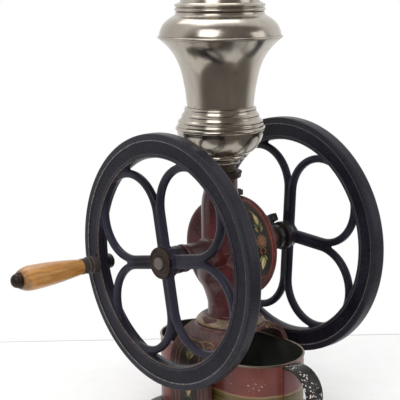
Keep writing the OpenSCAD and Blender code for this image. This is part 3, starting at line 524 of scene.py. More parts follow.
# flywheels: one rim and spoke form, and for each wheel its place, turn, hub and hub face (radius, distance outwards)
# cell and rounds: the size of the skin's cells and how often its corners are relaxed, here and for the castings
wheel = dict(outer=197.0, inner=160.6, thick=22.0, recess=2.4, armR=64.6, spread=4.6, armHalf=6.4, deep=6.6, cell=1.45,
             rounds=7)
wheels = {
    "nearWheel": dict(node="near_wheel", x=-133.0, phase=-11.3, inward=1, finish="brownIron",
                      hub=[(0, -11.4), (23, -11.4, 3), (24.7, -7, 3), (24.5, 6, 3),
                           (21.5, 11, 2), (21.5, 27.2, 1.2), (0, 27.2)],
                      face=[(9.7, -12.0), (10.6, -12.7, 0.3), (16.5, -12.6, 0.8), (17.6, -11.9, 0.5),
                            (21.2, -11.9, 0.8), (22.2, -12.9, 0.6), (23.8, -12.8, 0.8), (24.6, -11.4, 1.2),
                            (24.6, -9, 0.5), (9.7, -9), (9.7, -12.0)]),
    "farWheel": dict(node="far_wheel", x=133.0, phase=3.2, inward=-1, finish="wheelEnamel",
                     hub=[(0, -7.4), (17.5, -7.4, 2), (20.5, -3, 3), (20.5, 6, 3),
                          (23.8, 11, 2), (23.8, 20.2, 1.2), (0, 20.2)],
                     face=[(9.7, -7.6), (9.7, -8.6), (15.6, -8.6, 1), (16.6, -7.4, 0.5),
                           (16.6, -6), (9.7, -6), (9.7, -7.6)]),
}


def rimProfile():
    # one closed turn round the rim section: rounded inner lip, sunk band, rounded outer lip, on both faces
    inner, outer, half = wheel["inner"], wheel["outer"], wheel["thick"] / 2
    sunk = half - wheel["recess"]
    front = rounded([
        (inner - 0.6, 0, 0), (inner - 0.6, half - 3.5, 3.5), (inner + 1.6, half - 0.2, 2.5),
        (inner + 5.2, half - 0.4, 2), (inner + 6.6, sunk, 1.6), (outer - 12.2, sunk, 1.4), (outer - 10.4, half, 1.6),
        (outer - 1.2, half, 2.4), (outer - 0.05, half - 3.2, 2.4), (outer - 0.05, 0, 0)], 7)
    return np.vstack([front, (front * [1, -1])[::-1][1:-1]])


def armGrids(x, phase):
    # each arm: straight beside the spoke's centre line, then an arc that grazes the rim; a web between the two arms
    w = wheel
    cy = w["armR"] + w["spread"]
    cx = math.sqrt((w["inner"] + w["armHalf"] - w["armR"]) ** 2 - cy ** 2)
    a = np.linspace(-tau / 4, math.atan2(cy, cx), 60)
    line = np.vstack([columns(np.linspace(8, cx, 26)[:-1], w["spread"]),
                      columns(cx + w["armR"] * np.cos(a), cy + w["armR"] * np.sin(a))])
    step, outwards = heading(line), (1, 0, 0)
    grids = []
    for t in np.radians(phase + 90 * np.arange(4)):
        c, s = math.cos(t), math.sin(t)

        def placed(along, across, baseX=x, baseZ=shaftZ):
            # points or directions of the spoke, turned into place
            return columns(baseX, along * c - across * s, baseZ + along * s + across * c)

        for mirror in (1, -1):
            path, side = placed(line[:, 0], line[:, 1] * mirror), placed(-step[:, 1], step[:, 0] * mirror, 0, 0)
            grids.append(sweep(path, side, outwards, w["armHalf"], w["deep"], 20, 2.4))
        web = placed(np.linspace(8, cx + 2, 20), 0)
        grids.append(sweep(web, (0, -s, c), outwards, w["spread"] + 0.6, w["deep"] - 0.4, 20, 6.0))
    return grids


def flywheel(name, node, x, phase, inward, hub, face, finish):
    # inward is +1 where the hub barrel runs towards +X; the rim's inner ring joins the spokes to it
    at, flip = (x, 0, shaftZ), [1, inward]
    rim = lathe(rimProfile(), at, "x", 300)[0], True, True
    built(name + "Rim", [rim], "rotor", "wheel_enamel", "wheelEnamel", [node])
    a = turns(24)
    ring = columns(wheel["inner"] + 4 + 5.5 * np.cos(a), 8.6 * np.sin(a))
    grids = armGrids(x, phase) + [lathe(rounded(hub) * flip, at, "x", 96), (lathe(ring, at, "x", 220)[0], True, True)]
    skin = fused(surface(*grids), wheel["cell"], wheel["rounds"])
    piece(name + "Spokes", skin, "rotor", "wheel_enamel", "wheelEnamel", [node])
    spun(name + "HubFace", rounded(face) * flip, at, "x", 96, "rotor", "wheel_enamel", finish, [node])


for name, own in wheels.items():
    flywheel(name, **own)
print("flywheels ready")

# hopper and lid: the curves, then one outline (radius, height) for each piece
urnLine = smoothLine([(51.4, 508), (52.9, 522), (54.2, 532.6), (56.0, 543), (58.2, 554), (61.0, 565), (64.4, 574.5),
                      (68.6, 583.5), (74.4, 592.4), (82.2, 601.6), (93.2, 611.8)], 70)
bowlLine = smoothLine([(45.5, 436.5), (51.4, 439.4), (57.6, 446), (62.4, 454), (66.0, 463.5), (67.6, 470)], 36)
shoulderLine = smoothLine([(93.4, 617), (92.8, 621), (91.0, 626.5), (87.6, 633), (82.4, 638.6), (76.8, 642.8),
                           (71.6, 645.8), (68.6, 648.4), (67.9, 651)], 40)
domeLine = smoothLine([(61.0, 666.4), (59.4, 673), (54.5, 683), (45.5, 693), (33, 700.5), (20, 705), (11, 706.2)], 40)
ballTurn = np.radians(np.linspace(-66, 76, 30))


def shell(outer, thick):
    # an outline and its inner copy, closed at both ends
    step = heading(outer)
    inner = outer - columns(step[:, 1], -step[:, 0]) * thick
    inner[0, 1], inner[-1, 1] = outer[0, 1], outer[-1, 1]
    return loop(outer, inner[::-1])


brown, nickel = ("brown_iron", "brownIron"), ("nickel_plate", "nickel")
hopper = {
    "neckNut": ("frame", brown, "neck_nut", rounded([
        (26.6, 397.2), (31.4, 397.2, 0.8), (32.2, 399, 0.8), (32.2, 403, 0.6), (33.4, 404, 0.8), (33.4, 406.2, 0.8),
        (31.5, 407.4, 0.8), (24.1, 407.4)])),
    "hopperNeck": ("frame", brown, "hopper_neck", loop([(21.2, 402.2), (24, 402.2), (24, 431), (21.2, 431)])),
    "hopperBowl": ("frame", nickel, "hopper_bowl", loop(rounded([
        (24.1, 420.1), (29.4, 420.1, 1), (30.4, 422, 1), (29.2, 424.4, 0.8), (28.2, 425.2, 0.6), (33, 427.6, 1.5),
        (38, 428.8, 1.2), (41.6, 429.4, 1), (42.4, 431.5, 1), (41.6, 433.4, 0.8), (41.4, 434.2, 0.5), (45.5, 436.5)]),
        bowlLine, rounded([(67.8, 470.6), (67.9, 471.8, 0.4), (69.2, 472.4, 0.8),
                           (70.0, 474.4, 1.2), (69.2, 476.6, 0.8), (67.6, 477.9)]),
        [(64.5, 477.9)], (bowlLine - [2.4, -2.0])[::-1], [(34, 434), (24.1, 433)])),
    "hopperCollar": ("frame", nickel, "hopper_collar", loop(rounded([
        (66.8, 478.1), (66.9, 480.5, 0.8), (65.6, 482.6, 0.8), (65.3, 484, 0.5), (66.0, 485.6, 0.9), (64.6, 487.6, 0.9),
        (61.6, 489.6, 1.2), (60.2, 492.8, 1.2), (59.6, 493.8, 0.5), (60.2, 495.4, 0.8), (58.8, 497.4, 0.9),
        (56.8, 499, 1), (55.8, 502.2, 1), (55.2, 503.2, 0.5), (55.9, 504.8, 0.8), (55.2, 506.8, 0.8),
        (53.4, 507.9, 0.6), (51.5, 507.9)]), [(51.5, 502), (60, 484), (62, 478.1)])),
    "hopperUrn": ("frame", nickel, "hopper_urn", shell(urnLine, 1.6)),
    "urnGirdle": ("frame", nickel, "urn_girdle", rounded([
        (91.8, 612.1), (94.2, 612.1, 0.8), (95.9, 613.4, 1.2), (95.9, 615.6, 1.2), (94.2, 616.8, 0.8), (91.8, 616.8),
        (91.8, 612.1)])),
    "hopperShoulder": ("frame", nickel, "hopper_shoulder", loop(
        shoulderLine, [(67.9, 652), (62, 652), (62, 650.4), (66.2, 650)], (shoulderLine - [2.0, 0.6])[::-1][2:])),
    "lidRim": ("lid", nickel, "lid_rim", rounded([
        (61.4, 643), (61.4, 652.5), (66, 652.5, 0.6), (68.4, 653.2, 1), (69.6, 655.4, 1.6), (68.6, 657.8, 1),
        (67.0, 658.8, 0.6), (68.2, 659.8, 0.8), (69.8, 661.8, 1.8), (68.2, 664.2, 1.2), (65.4, 664.8, 0.8),
        (63.6, 666.3, 0.8), (60.5, 666.3), (59.8, 664), (59.8, 643), (61.4, 643)])),
    "lidDome": ("lid", nickel, "lid_dome", shell(domeLine, 1.6)),
    "lidKnob": ("lid", nickel, "lid_knob", np.vstack([rounded([
        (0, 706.3), (11, 706.4, 0.5), (11.8, 708, 1), (9.2, 710, 2), (5.6, 712.4, 2), (5, 714.4, 1), (6.9, 715.6, 1.2),
        (5, 717, 1), (5.2, 718.4, 1)]), columns(13.9 * np.cos(ballTurn), 730.2 + 12 * np.sin(ballTurn)),
        rounded([(3.3, 742.0), (3.6, 743.2, 0.6), (2.4, 745.2, 1), (0, 746.2)])])),
}
for name, (bodyName, (slot, finish), node, outline) in hopper.items():
    spun(name, outline, hopperAt, "z", 96 if name == "lidKnob" else 160, bodyName, slot, finish, [node])
print("hopper ready")

# mill body
body = dict(drumR=80.0, drumLow=-25.0, drumHigh=19.4, panelLow=-18.0, panelHigh=15.4, columnR=36.0, footR=55.0,
            footZ=159.0, footH=13.5, boss=20.0, bossEnd=-102.0, coverR=83.0, cell=1.5, rounds=8)
# places round the drum are degrees above its front; grid is how many points a painted skin has along and across
panel = dict(start=-26, end=76, rose=17, grid=(960, 62))


def bellLine(t):
    # the foot's outline: it narrows and rises by the power 2/3 of t
    b = body
    return b["columnR"] + (b["footR"] - b["columnR"]) * (1 - t) ** 0.667, b["footZ"] + b["footH"] * t ** 0.667


def bodyGrids():
    # foot, column, drum, throat and boss turned about their axes; oval sections carry the column into the drum
    b = body
    column = np.vstack([[(0, b["footZ"])], columns(*bellLine(np.linspace(0, 1, 24) ** 1.5)),
                        [(b["columnR"], 184), (b["columnR"], 194), (0, 194)]])
    # half along the shaft, half across it, height
    loft = smoothLine([(36.0, 36.0, 190), (38.3, 38.6, 200), (40.4, 43.6, 210), (41.8, 50.0, 218),
                       (42.0, 61.5, 227), (40.0, 65.2, 233.5), (36.5, 69.0, 240), (31.5, 73.0, 248),
                       (27.0, 76.0, 256), (23.0, 78.0, 263)], 48)
    neck = lathe(np.vstack([[(0, 189)], loft[:, 1:], [(0, 264)]]), columnAt, "z", 160)
    neck[0][:, 1:-1, 0] *= loft[:, 0] / loft[:, 1]
    drum = rounded([(0, b["drumLow"]), (b["drumR"], b["drumLow"], 5), (b["drumR"], b["drumHigh"], 0.5),
                    (0, b["drumHigh"])])
    throat = rounded([(0, 274), (31, 274, 9), (31, 352, 10), (29.5, 366, 8), (26.6, 376, 5), (26.5, 401.9, 0.4),
                      (0, 401.9)])
    boss = rounded([(0, b["bossEnd"]), (b["boss"] + 2, b["bossEnd"], 1), (b["boss"] + 2, b["bossEnd"] + 5, 1.5),
                    (b["boss"], b["bossEnd"] + 8, 2), (b["boss"], -56, 6), (25, -50, 4), (26, -24), (0, -24)])
    return [lathe(column, columnAt, "z", 128), neck, lathe(drum, shaftAt, "x", 160),
            lathe(throat, hopperAt, "z", 96), lathe(boss, shaftAt, "x", 96)]


def cutToCover(points):
    # what stands past the drum's far face, inside the cover's round, goes back to that face
    past = (points[:, 0] > body["drumHigh"]) & (np.hypot(points[:, 1], points[:, 2] - shaftZ) < body["coverR"])
    points[past, 0] = body["drumHigh"]


casting = reshaped(fused(surface(*bodyGrids()), body["cell"], body["rounds"]), cutToCover)
piece("millBody", casting, "frame", "red_enamel", "bodyRed", ["mill_body", "mill_column"])

# cover, its screws, the grind nut with its locking screw, and the washer that the nut bears on
cover = dict(ribs=6, ribFrom=12, ribTo=66, ribX=22.6, screws=4, screwRing=75.0, lockTurn=-28)
coverLine = rounded([(0, 19.45), (80.9, 19.45, 0.8), (80.9, 25.8, 1.8), (36, 25.8, 3), (25, 29.5, 5), (19, 34, 6),
                     (17.5, 46, 2), (16, 50, 2), (12.6, 51, 1), (12.5, 115.8, 0.6), (9.8, 115.8)])
ribPath = columns(cover["ribX"], np.linspace(cover["ribFrom"], cover["ribTo"], 20), shaftZ)
ribRise = 3.2 + 17 * (1 - np.linspace(0, 1, 20)) ** 1.6
rib = sweep(ribPath, (0, 0, 1), (1, 0, 0), 3.0, ribRise, 16, 3.0)
ribs = [turned(rib, shaftAt, 30 + k * 360 / cover["ribs"]) for k in range(cover["ribs"])]
coverGrids = [lathe(coverLine, shaftAt, "x", 200), *ribs]
built("housingCover", coverGrids, "frame", "red_enamel", "coverRed", ["housing_cover"])

screwLine = rounded([(0, 25.0), (4.8, 25.0), (4.8, 27.2, 1.2), (3.6, 28.3, 1.5), (0, 28.5)])
screwTurns = math.radians(45) + tau / cover["screws"] * np.arange(cover["screws"])
screws = [lathe(screwLine, (0, cover["screwRing"] * math.cos(a), shaftZ + cover["screwRing"] * math.sin(a)), "x", 24)
          for a in screwTurns]
built("coverScrews", screws, "frame", "dark_steel", "darkSteel", ["cover_screws"])

nutLine = rounded([(12.65, 97.8), (18.6, 97.8, 1.2), (20.4, 99.6, 1.6), (20.4, 106.2, 1.4), (18.4, 107.4, 0.8),
                   (18.4, 110.2, 0.8), (17.4, 111.2, 0.6), (12.65, 111.2), (12.65, 97.8)])
washerLine = rounded([(12.7, 111.3), (20.5, 111.3, 0.4), (20.5, 112.7, 0.4), (12.7, 112.7), (12.7, 111.3)])
lockScrew = [turned(bar(low, high, exponent), shaftAt, cover["lockTurn"]) for low, high, exponent in (
    ((101.9, -7.4, shaftZ + 25.4), (116.7, 7.4, shaftZ + 38.6), 9),
    ((101.2, -4.0, shaftZ + 15.5), (109.2, 4.0, shaftZ + 27.0), 4))]
spun("grindNut", nutLine, shaftAt, "x", 96, "regulator", "black_enamel", "blackEnamel", ["grind_nut"])
built("lockScrew", lockScrew, "regulator", "black_enamel", "blackEnamel", ["lock_screw"])
spun("thrustWasher", washerLine, shaftAt, "x", 96, "carrier", "bearing_brass", "brownIron", ["thrust_washer"])

# hand painting, worked out as colours over a grid
paints = dict(red=(0.105, 0.020, 0.021), dark=(0.012, 0.014, 0.010), orange=(0.42, 0.075, 0.032),
              rust=(0.20, 0.034, 0.020), cream=(0.60, 0.47, 0.27), ochre=(0.38, 0.24, 0.06), green=(0.085, 0.13, 0.045),
              sage=(0.13, 0.17, 0.12), yellow=(0.46, 0.36, 0.09), tan=(0.185, 0.115, 0.075),
              mauve=(0.105, 0.046, 0.044), gold=(0.30, 0.20, 0.075), heart=(0.070, 0.002, 0.006),
              dust=(0.33, 0.24, 0.165))


def ground(shape, paint):
    # a picture all of one paint
    return np.ones(shape + (3,)) * paints[paint]


def lay(picture, mask, paint, opacity=1.0):
    # one coat over the picture: each point is mixed with the paint by its mask
    mask = np.clip(mask, 0, 1)[..., None] * opacity
    return picture * (1 - mask) + np.array(paints[paint]) * mask


def soft(distance, edge=0.35):
    # mask of where the distance is below zero, with a soft edge
    return np.clip(0.5 - distance / (2 * edge), 0, 1)


def petal(u, v, tip, foot, width, fullest):
    # mask of a leaf from foot to tip: half width follows a sine bent so that it is widest at fullest
    a, b = np.array(foot, float), np.array(tip, float)
    length = np.linalg.norm(b - a)
    along = ((u - a[0]) * (b - a)[0] + (v - a[1]) * (b - a)[1]) / length
    across = ((v - a[1]) * (b - a)[0] - (u - a[0]) * (b - a)[1]) / length
    half = width * np.sin(math.pi * np.clip(along / length, 0, 1) ** (math.log(0.5) / math.log(fullest)))
    return soft(np.maximum(np.abs(across) - half, np.maximum(-along, along - length)))


def stroke(u, v, points, width):
    # mask of a brush line through the points, thinner at its two ends
    line = smoothLine(points, 28)
    best = np.full(u.shape, 1e9)
    for k in range(len(line) - 1):
        a, b = line[k], line[k + 1]
        t = np.clip(((u - a[0]) * (b - a)[0] + (v - a[1]) * (b - a)[1]) / max(np.sum((b - a) ** 2), 1e-9), 0, 1)
        w = width * (0.35 + 0.65 * math.sin(math.pi * (k + 0.5) / (len(line) - 1)))
        best = np.minimum(best, np.hypot(u - a[0] - t * (b - a)[0], v - a[1] - t * (b - a)[1]) - w)
    return soft(best)


def boxAway(u, v, low, high, corner):
    # signed distance to a rectangle with round corners
    centre, half = (np.array(low) + np.array(high)) / 2, (np.array(high) - np.array(low)) / 2 - corner
    du, dv = np.abs(u - centre[0]) - half[0], np.abs(v - centre[1]) - half[1]
    return np.hypot(np.maximum(du, 0), np.maximum(dv, 0)) + np.minimum(np.maximum(du, dv), 0) - corner


def brushed(picture, u, v, marks, sides=(1,)):
    # marks in order, mirrored in v where sides has -1: (paint, opacity, points, half width) is a stroke, and with the
    # place of its greatest width as a fifth value it is a leaf from its second point to its first
    for side in sides:
        for paint, opacity, points, width, *fullest in marks:
            points = [(a, b * side) for a, b in points]
            mask = petal(u, v, *points, width, *fullest) if fullest else stroke(u, v, points, width)
            picture = lay(picture, mask, paint, opacity)
    return picture


def lined(picture, distance, rows):
    # bands along set distances: (paint, opacity, distance, half width)
    for paint, opacity, at, half in rows:
        picture = lay(picture, soft(np.abs(distance - at) - half), paint, opacity)
    return picture


def discs(picture, away, marks):
    # (paint, opacity, radius) is a disc about the point that away is measured from; a fourth value, the half width of
    # its line, makes it a ring
    for paint, opacity, radius, *half in marks:
        if half:
            picture = lined(picture, away, [(paint, opacity, radius, *half)])
        else:
            picture = lay(picture, soft(away - radius), paint, opacity)
    return picture


def spray(picture, u, v):
    # the flower spray: u runs up the drum in millimetres, v across it, the rose at the middle
    picture = brushed(picture, u, v, [
        ("ochre", 1, [(50, 0.6), (26, 0)], 4.2, 0.42), ("cream", 1, [(49, 1.0), (28, 0.8)], 2.9, 0.42),
        ("yellow", 1, [(42, 2.4), (30, 1.6)], 0.9, 0.5), ("cream", 0.8, [(49, 0.8), (53, -0.4), (57, -2.4)], 0.55)])
    picture = brushed(picture, u, v, [
        ("green", 1, [(31, 8.4), (21, 1.2)], 2.0, 0.55), ("sage", 1, [(29, 7.4), (22, 2.2)], 0.9, 0.55),
        ("yellow", 0.85, [(24, 8.0), (15, 2.6)], 1.7, 0.55), ("green", 1, [(26, 1.0), (31, 3.2), (35, 6.6)], 0.45),
        ("orange", 1, [(-9, 1.0), (-13, 5.4), (-18, 4.0), (-16.5, 1.8)], 0.75),
        ("green", 1, [(-31, 9.0), (-20, 1.0)], 2.0, 0.55),
        ("yellow", 0.8, [(-29, 8.2), (-21, 2.4)], 1.0, 0.55)], (1, -1))
    # five round petals with bright rims, a leaf tip between each two, and a dark eye
    for a in math.pi + tau / 5 * np.arange(5):
        away = np.hypot(u - 1.0 - 5.6 * math.cos(a), v - 5.6 * math.sin(a))
        picture = discs(picture, away, [("tan", 0.45, 4.6), ("orange", 0.8, 3.9, 0.4), ("ochre", 0.6, 1.3)])
        c, s = math.cos(a + tau / 10), math.sin(a + tau / 10)
        leaf = [(1.0 + 12.2 * c, 12.2 * s), (1.0 + 7.2 * c, 7.2 * s)]
        picture = brushed(picture, u, v, [("green", 1, leaf, 1.3, 0.55)])
    away = np.hypot(u - 1.0, v)
    picture = discs(picture, away, [("orange", 0.7, 3.4, 0.45), ("ochre", 0.8, 2.2), ("dark", 1, 1.4)])
    return brushed(picture, u, v, [
        ("green", 0.9, [(-46, 0.2), (-23, 0)], 5.6, 0.42), ("cream", 1, [(-45, 0.2), (-24, 0)], 4.6, 0.42),
        ("ochre", 0.8, [(-41, 1.8), (-26, 1.6)], 1.4, 0.45)])


def dirt(rows, cols, amount, seed):
    # smooth random darkening: a few sums of waves of random direction
    rng = np.random.default_rng(seed)
    value = np.zeros(rows.shape)
    for k in range(14):
        a, b, c = rng.uniform(-1, 1), rng.uniform(-1, 1), rng.uniform(0, tau)
        scale = rng.uniform(0.08, 0.9)
        value += np.sin(scale * (a * rows + b * cols) + c)
    return 1 - amount * np.clip(0.5 + value / 9, 0, 1)[..., None]


def backed(grid):
    # two more columns, for the back of a sheet: the last one and the first one again
    return np.concatenate([grid, grid[:, -1:], grid[:, :1]], 1)


def closedSkin(front, inward, picture):
    # a thin closed sheet: the painted front, and a plain back joined to it along all four edges
    back = front + inward * 0.55
    grid = np.concatenate([front, back[:, -1:], back[:, :1]], 1)
    ends = backed(back)[[0, -1]]
    colours = backed(picture)
    return np.concatenate([ends[:1], grid, ends[1:]], 0), False, np.concatenate([colours[:1], colours, colours[-1:]], 0)


def painted(name, grid, wrapRows, picture, nodes):
    # a grid whose points carry the picture's colours
    mesh = surface((grid, wrapRows, True))
    flat = picture.reshape(-1, 3)
    layer = mesh.attributes.new("paint", "FLOAT_COLOR", "POINT")
    layer.data.foreach_set("color", np.column_stack([flat, np.ones(len(flat))]).ravel())
    piece(name, cleaned(mesh), "frame", "red_enamel", "handPaint", nodes, sharp=60)


def bandOutline(r, z, rise, depth):
    # a lathe outline for a thin painted band: the line itself, then back behind it
    return columns(np.append(r, [r[-1] - depth, r[0] - depth]), np.append(z + rise, [z[-1], z[0]]))


def drumPainting():
    # the drum's round wall: u is the height round the wall from its -Y side, v the place along the shaft
    b = body
    (around, lines), r = panel["grid"], body["drumR"] + 0.16
    across = np.linspace(b["drumLow"] + 5, b["drumHigh"] - 0.1, lines)
    degrees, cols = np.meshgrid(np.degrees(turns(around)), across, indexing="ij")
    centre = (b["panelLow"] + b["panelHigh"]) / 2
    picture = ground(degrees.shape, "red")
    for start in (degrees, 180 - degrees):
        angle = (start + 180) % 360 - 180
        u = np.radians(angle) * r
        low, high, rose = (math.radians(panel[key]) * r for key in ("start", "end", "rose"))
        edge = boxAway(u, cols, (low, b["panelLow"]), (high, b["panelHigh"]), 6)
        art = lay(picture, soft(edge), "dark")
        art = lined(art, edge, [("rust", 0.9, -2.8, 0.5), ("orange", 1, 0.5, 0.7), ("dark", 0.8, 2.2, 0.7)])
        bend = np.interp(u - rose, [-34, -13, 0, 20, 40], [-1.7, -2.8, -3.5, -1.3, 2.2])  # the stem leans to and fro
        art = spray(art, u - rose, cols - centre - bend)
        picture = np.where((np.cos(np.radians(angle)) > -0.2)[..., None], art, picture)
    picture = lay(picture, soft(np.abs(cols - b["drumHigh"] + 1.6) - 0.4, 0.3), "orange", 0.7)
    picture = picture * dirt(degrees * 1.4, cols, 0.35, 4)
    profile = bandOutline(np.full(lines, r), across, 0, 0.7)
    # the lathe starts at +Y and turns towards +Z, so the picture's rows are put in its order
    index = np.round((180 - np.linspace(0, 360, around, endpoint=False)) % 360 / 360 * around).astype(int) % around
    painted("drumPainting", lathe(profile, shaftAt, "x", around)[0], True, backed(picture)[index], ["mill_body"])


drumPainting()
print("mill body ready")

# arch over the can
arch = dict(half=91.0, rise=66.0, inHalf=80.0, inRise=50.0, depth=90.0, spring=97.0, low=12.0, top=158.9, pad=92.5,
            cell=1.5, rounds=5)
legSkin = dict(half=44, grid=(250, 130))
faceSkin = dict(outer=(88.2, 62.5, 2.3), inner=(82.6, 53.0, 3.2), top=156.5, grid=(300, 24))
bellSkin = dict(hearts=5, heartHalf=16.8, heartTall=5.9, heartUp=9.6, middleR=49.0, grid=(720, 44))


def superArc(a, half, rise, exponent):
    # points at angles a over a superellipse that springs from the legs
    return columns(half * power(np.cos(a), exponent), arch["spring"] + rise * np.abs(np.sin(a)) ** (2 / exponent))


def archLine(half, rise, exponent):
    # up one leg, over the superellipse, down the other
    leg = np.linspace(arch["low"], arch["spring"], 20)[:-1]
    curve = superArc(np.linspace(0, math.pi, 90), half, rise, exponent)
    return np.vstack([columns(half, leg), curve, columns(-half, leg[::-1])])


outerLine, innerLine = archLine(arch["half"], arch["rise"], 2.3), archLine(arch["inHalf"], arch["inRise"], 3.4)
outerLine[:, 1] = np.minimum(outerLine[:, 1], arch["top"])


def archGrids():
    # a bar between the two lines across the depth, a crown disc under the column, and two pads
    half = arch["depth"] / 2
    v = np.concatenate([np.linspace(0, 1, 6), np.ones(20), np.linspace(1, 0, 6), np.zeros(20)])
    y = np.concatenate([np.full(6, -half), np.linspace(-half, half, 20), np.full(6, half),
                        np.linspace(half, -half, 20)])
    line = innerLine[:, None, :] * (1 - v)[None, :, None] + outerLine[:, None, :] * v[None, :, None]
    grid = columns(line[..., 0], y, line[..., 1])
    ends = np.repeat(grid.mean(1, keepdims=True)[[0, -1]], grid.shape[1], 1)
    pads = [bar((x - 17, -50, 12), (x + 17, 50, 21), 10) for x in (-arch["pad"], arch["pad"])]
    crown = rounded([(0, 149), (56.9, 149, 3), (56.9, arch["top"], 2), (0, arch["top"])])
    return [(np.concatenate([ends[:1], grid, ends[1:]]), False, True), lathe(crown, columnAt, "z", 96)] + pads


def clearOfCan(points):
    # the legs' inner faces stay flat beside the can
    x, y, z = points.T
    inside = (np.abs(x) < 79.9) & (z < 50) & (np.abs(y) < 60)
    points[inside, 0] = np.sign(x[inside]) * arch["inHalf"]


archMesh = reshaped(fused(surface(*archGrids()), arch["cell"], arch["rounds"]), clearOfCan)
piece("baseArch", archMesh, "frame", "red_enamel", "archPaint", ["base_arch"])


def legPicture(u, v):
    # u runs up the leg and over the hood, v across it: a dark middle panel, stripes, buds and scrolls
    art = ground(u.shape, "mauve")
    art = lay(art, soft(boxAway(u, v, (-30, -38.5), (94, 38.5), 12)), "red", 0.85)
    edge = boxAway(u, v, (-30, -21.5), (112, 21.5), 17)
    art = lined(lay(art, soft(edge), "dark", 0.9), edge, [
        ("gold", 1, 1.2, 0.5), ("dark", 0.9, 5.2, 1.1), ("gold", 0.8, 9.6, 0.55), ("dark", 0.8, 13.0, 0.9)])
    art = lined(art, np.abs(v), [("rust", 0.8, 41.0, 0.6)])
    art = brushed(art, u, v, [
        ("gold", 0.9, [(118, 6), (123, 18), (124, 32), (119, 44)], 0.9),
        ("gold", 0.8, [(112, 26), (117, 34), (116, 44)], 0.7), ("sage", 0.9, [(108, 8.5), (92, 0.6)], 2.2, 0.6),
        ("yellow", 0.7, [(100, 9.5), (88, 0.4)], 1.7, 0.6), ("green", 1, [(24, 6.5), (34, 0.8)], 1.6, 0.55)], (1, -1))
    art = brushed(art, u, v, [
        ("gold", 1, [(113, 0), (94, 0)], 3.4, 0.55), ("cream", 0.8, [(110, 0.6), (97, 0.4)], 1.4, 0.55),
        ("green", 1, [(94, 0), (86, 0.6), (78, 0)], 0.6), ("ochre", 1, [(47, 0.5), (24, 0)], 6.4, 0.6),
        ("cream", 1, [(46, 0.5), (25, 0)], 5.2, 0.6), ("ochre", 1, [(44, 1.4), (28, 1.2)], 1.5, 0.6)])
    return art * dirt(u, v, 0.5, 9)


def legPainting():
    # the arch's outer line from a pad to the crown at even steps, spread across the depth; both faces, mirrored
    line = outerLine[::-1]
    line = line[(line[:, 0] < -36) & (line[:, 1] > 21.6)]
    walked = np.concatenate([[0], np.cumsum(np.hypot(*np.diff(line, axis=0).T))])
    even = np.linspace(0, walked[-1], legSkin["grid"][0])
    line = columns(np.interp(even, walked, line[:, 0]), np.interp(even, walked, line[:, 1]))
    u, v = np.meshgrid(even, np.linspace(-legSkin["half"], legSkin["half"], legSkin["grid"][1]), indexing="ij")
    step = heading(line)
    inward = columns(step[:, 1], -step[:, 0])
    front = line - inward * 0.2
    grid = columns(front[:, :1], v, front[:, 1:])
    back = columns(inward[:, :1], 0, inward[:, 1:])
    picture = legPicture(u, v)
    for name, side in (("nearLegPainting", 1), ("farLegPainting", -1)):
        mirror = np.array([side, 1, 1])
        painted(name, *closedSkin(grid * mirror, back * mirror, picture), ["base_arch"])


def frontPainting():
    # the flat faces of the arch above each opening: a red outer band, gold strokes on a dark shoulder
    half = arch["depth"] / 2 + 0.2
    along, across = faceSkin["grid"]
    a = np.linspace(math.radians(2), math.radians(178), along)
    outer, inner = superArc(a, *faceSkin["outer"]), superArc(a, *faceSkin["inner"])
    outer[:, 1] = np.minimum(outer[:, 1], faceSkin["top"])
    t = np.linspace(0, 1, across)[None, :, None]
    x, z = np.moveaxis(inner[:, None] * (1 - t) + outer[:, None] * t, -1, 0)
    picture = lay(ground(x.shape, "mauve"), soft(np.abs(x) - 74, 6), "dark", 0.85)
    picture = lay(picture, soft(74 - np.abs(x), 6), "red", 0.9)
    for side in (1, -1):
        for paint, shift in (("cream", 0), ("gold", 7), ("gold", 14)):
            points = [((22 + shift) * side, 155), ((36 + shift) * side, 151.5), ((44 + shift) * side, 144.5)]
            picture = brushed(picture, x, z, [(paint, 0.85, points, 1.1)])
    picture *= dirt(x, z, 0.45, 12)
    for name, side in (("frontFacePainting", -1), ("backFacePainting", 1)):
        grid = columns(x, half * side, z)
        painted(name, *closedSkin(grid, np.array([0, -side, 0]), picture), ["base_arch"])


def bellPainting():
    # dusty gold ground on the bell foot with five hearts, points down; u is the turn, v the way up the foot
    around, lines = bellSkin["grid"]
    r, z = bellLine(np.linspace(0.02, 0.985, lines))
    along = np.concatenate([[0], np.cumsum(np.hypot(np.diff(r), np.diff(z)))])
    u, v = np.meshgrid(turns(around), along, indexing="ij")
    picture = lay(ground(u.shape, "dust"), soft(v - 2.6, 0.9), "mauve")
    picture = lay(picture, soft(along[-1] - 5.0 - v, 2.0), "red", 0.9)
    picture = lined(picture, v, [("gold", 1, 1.4, 0.5)])
    for k in range(bellSkin["hearts"]):
        away = (u - math.radians(180 + 360 / bellSkin["hearts"] * k) + math.pi) % tau - math.pi
        a, c = away * bellSkin["middleR"] / bellSkin["heartHalf"], (v - bellSkin["heartUp"]) / bellSkin["heartTall"]
        heart = a ** 2 + (c * 1.15 - 0.95 * np.sqrt(np.abs(a)) + 0.25) ** 2 - 1
        picture = lay(picture, soft(heart, 0.16), "heart", 0.97)
        picture = lay(picture, soft(np.abs(heart - 0.10) - 0.07, 0.08), "dark", 0.6)
    picture *= dirt(u * 45, v * 2, 0.5, 21)
    grid = lathe(bandOutline(r + 0.8, z, 0.6, 1.8), columnAt, "z", around)[0]
    painted("bellPainting", grid, True, backed(picture), ["mill_body", "mill_column"])


legPainting()
frontPainting()
bellPainting()

# base plate
plate = dict(halfX=113.0, halfY=115.0, corner=50.0, screwX=92, screwY=85, screwR=3.5)


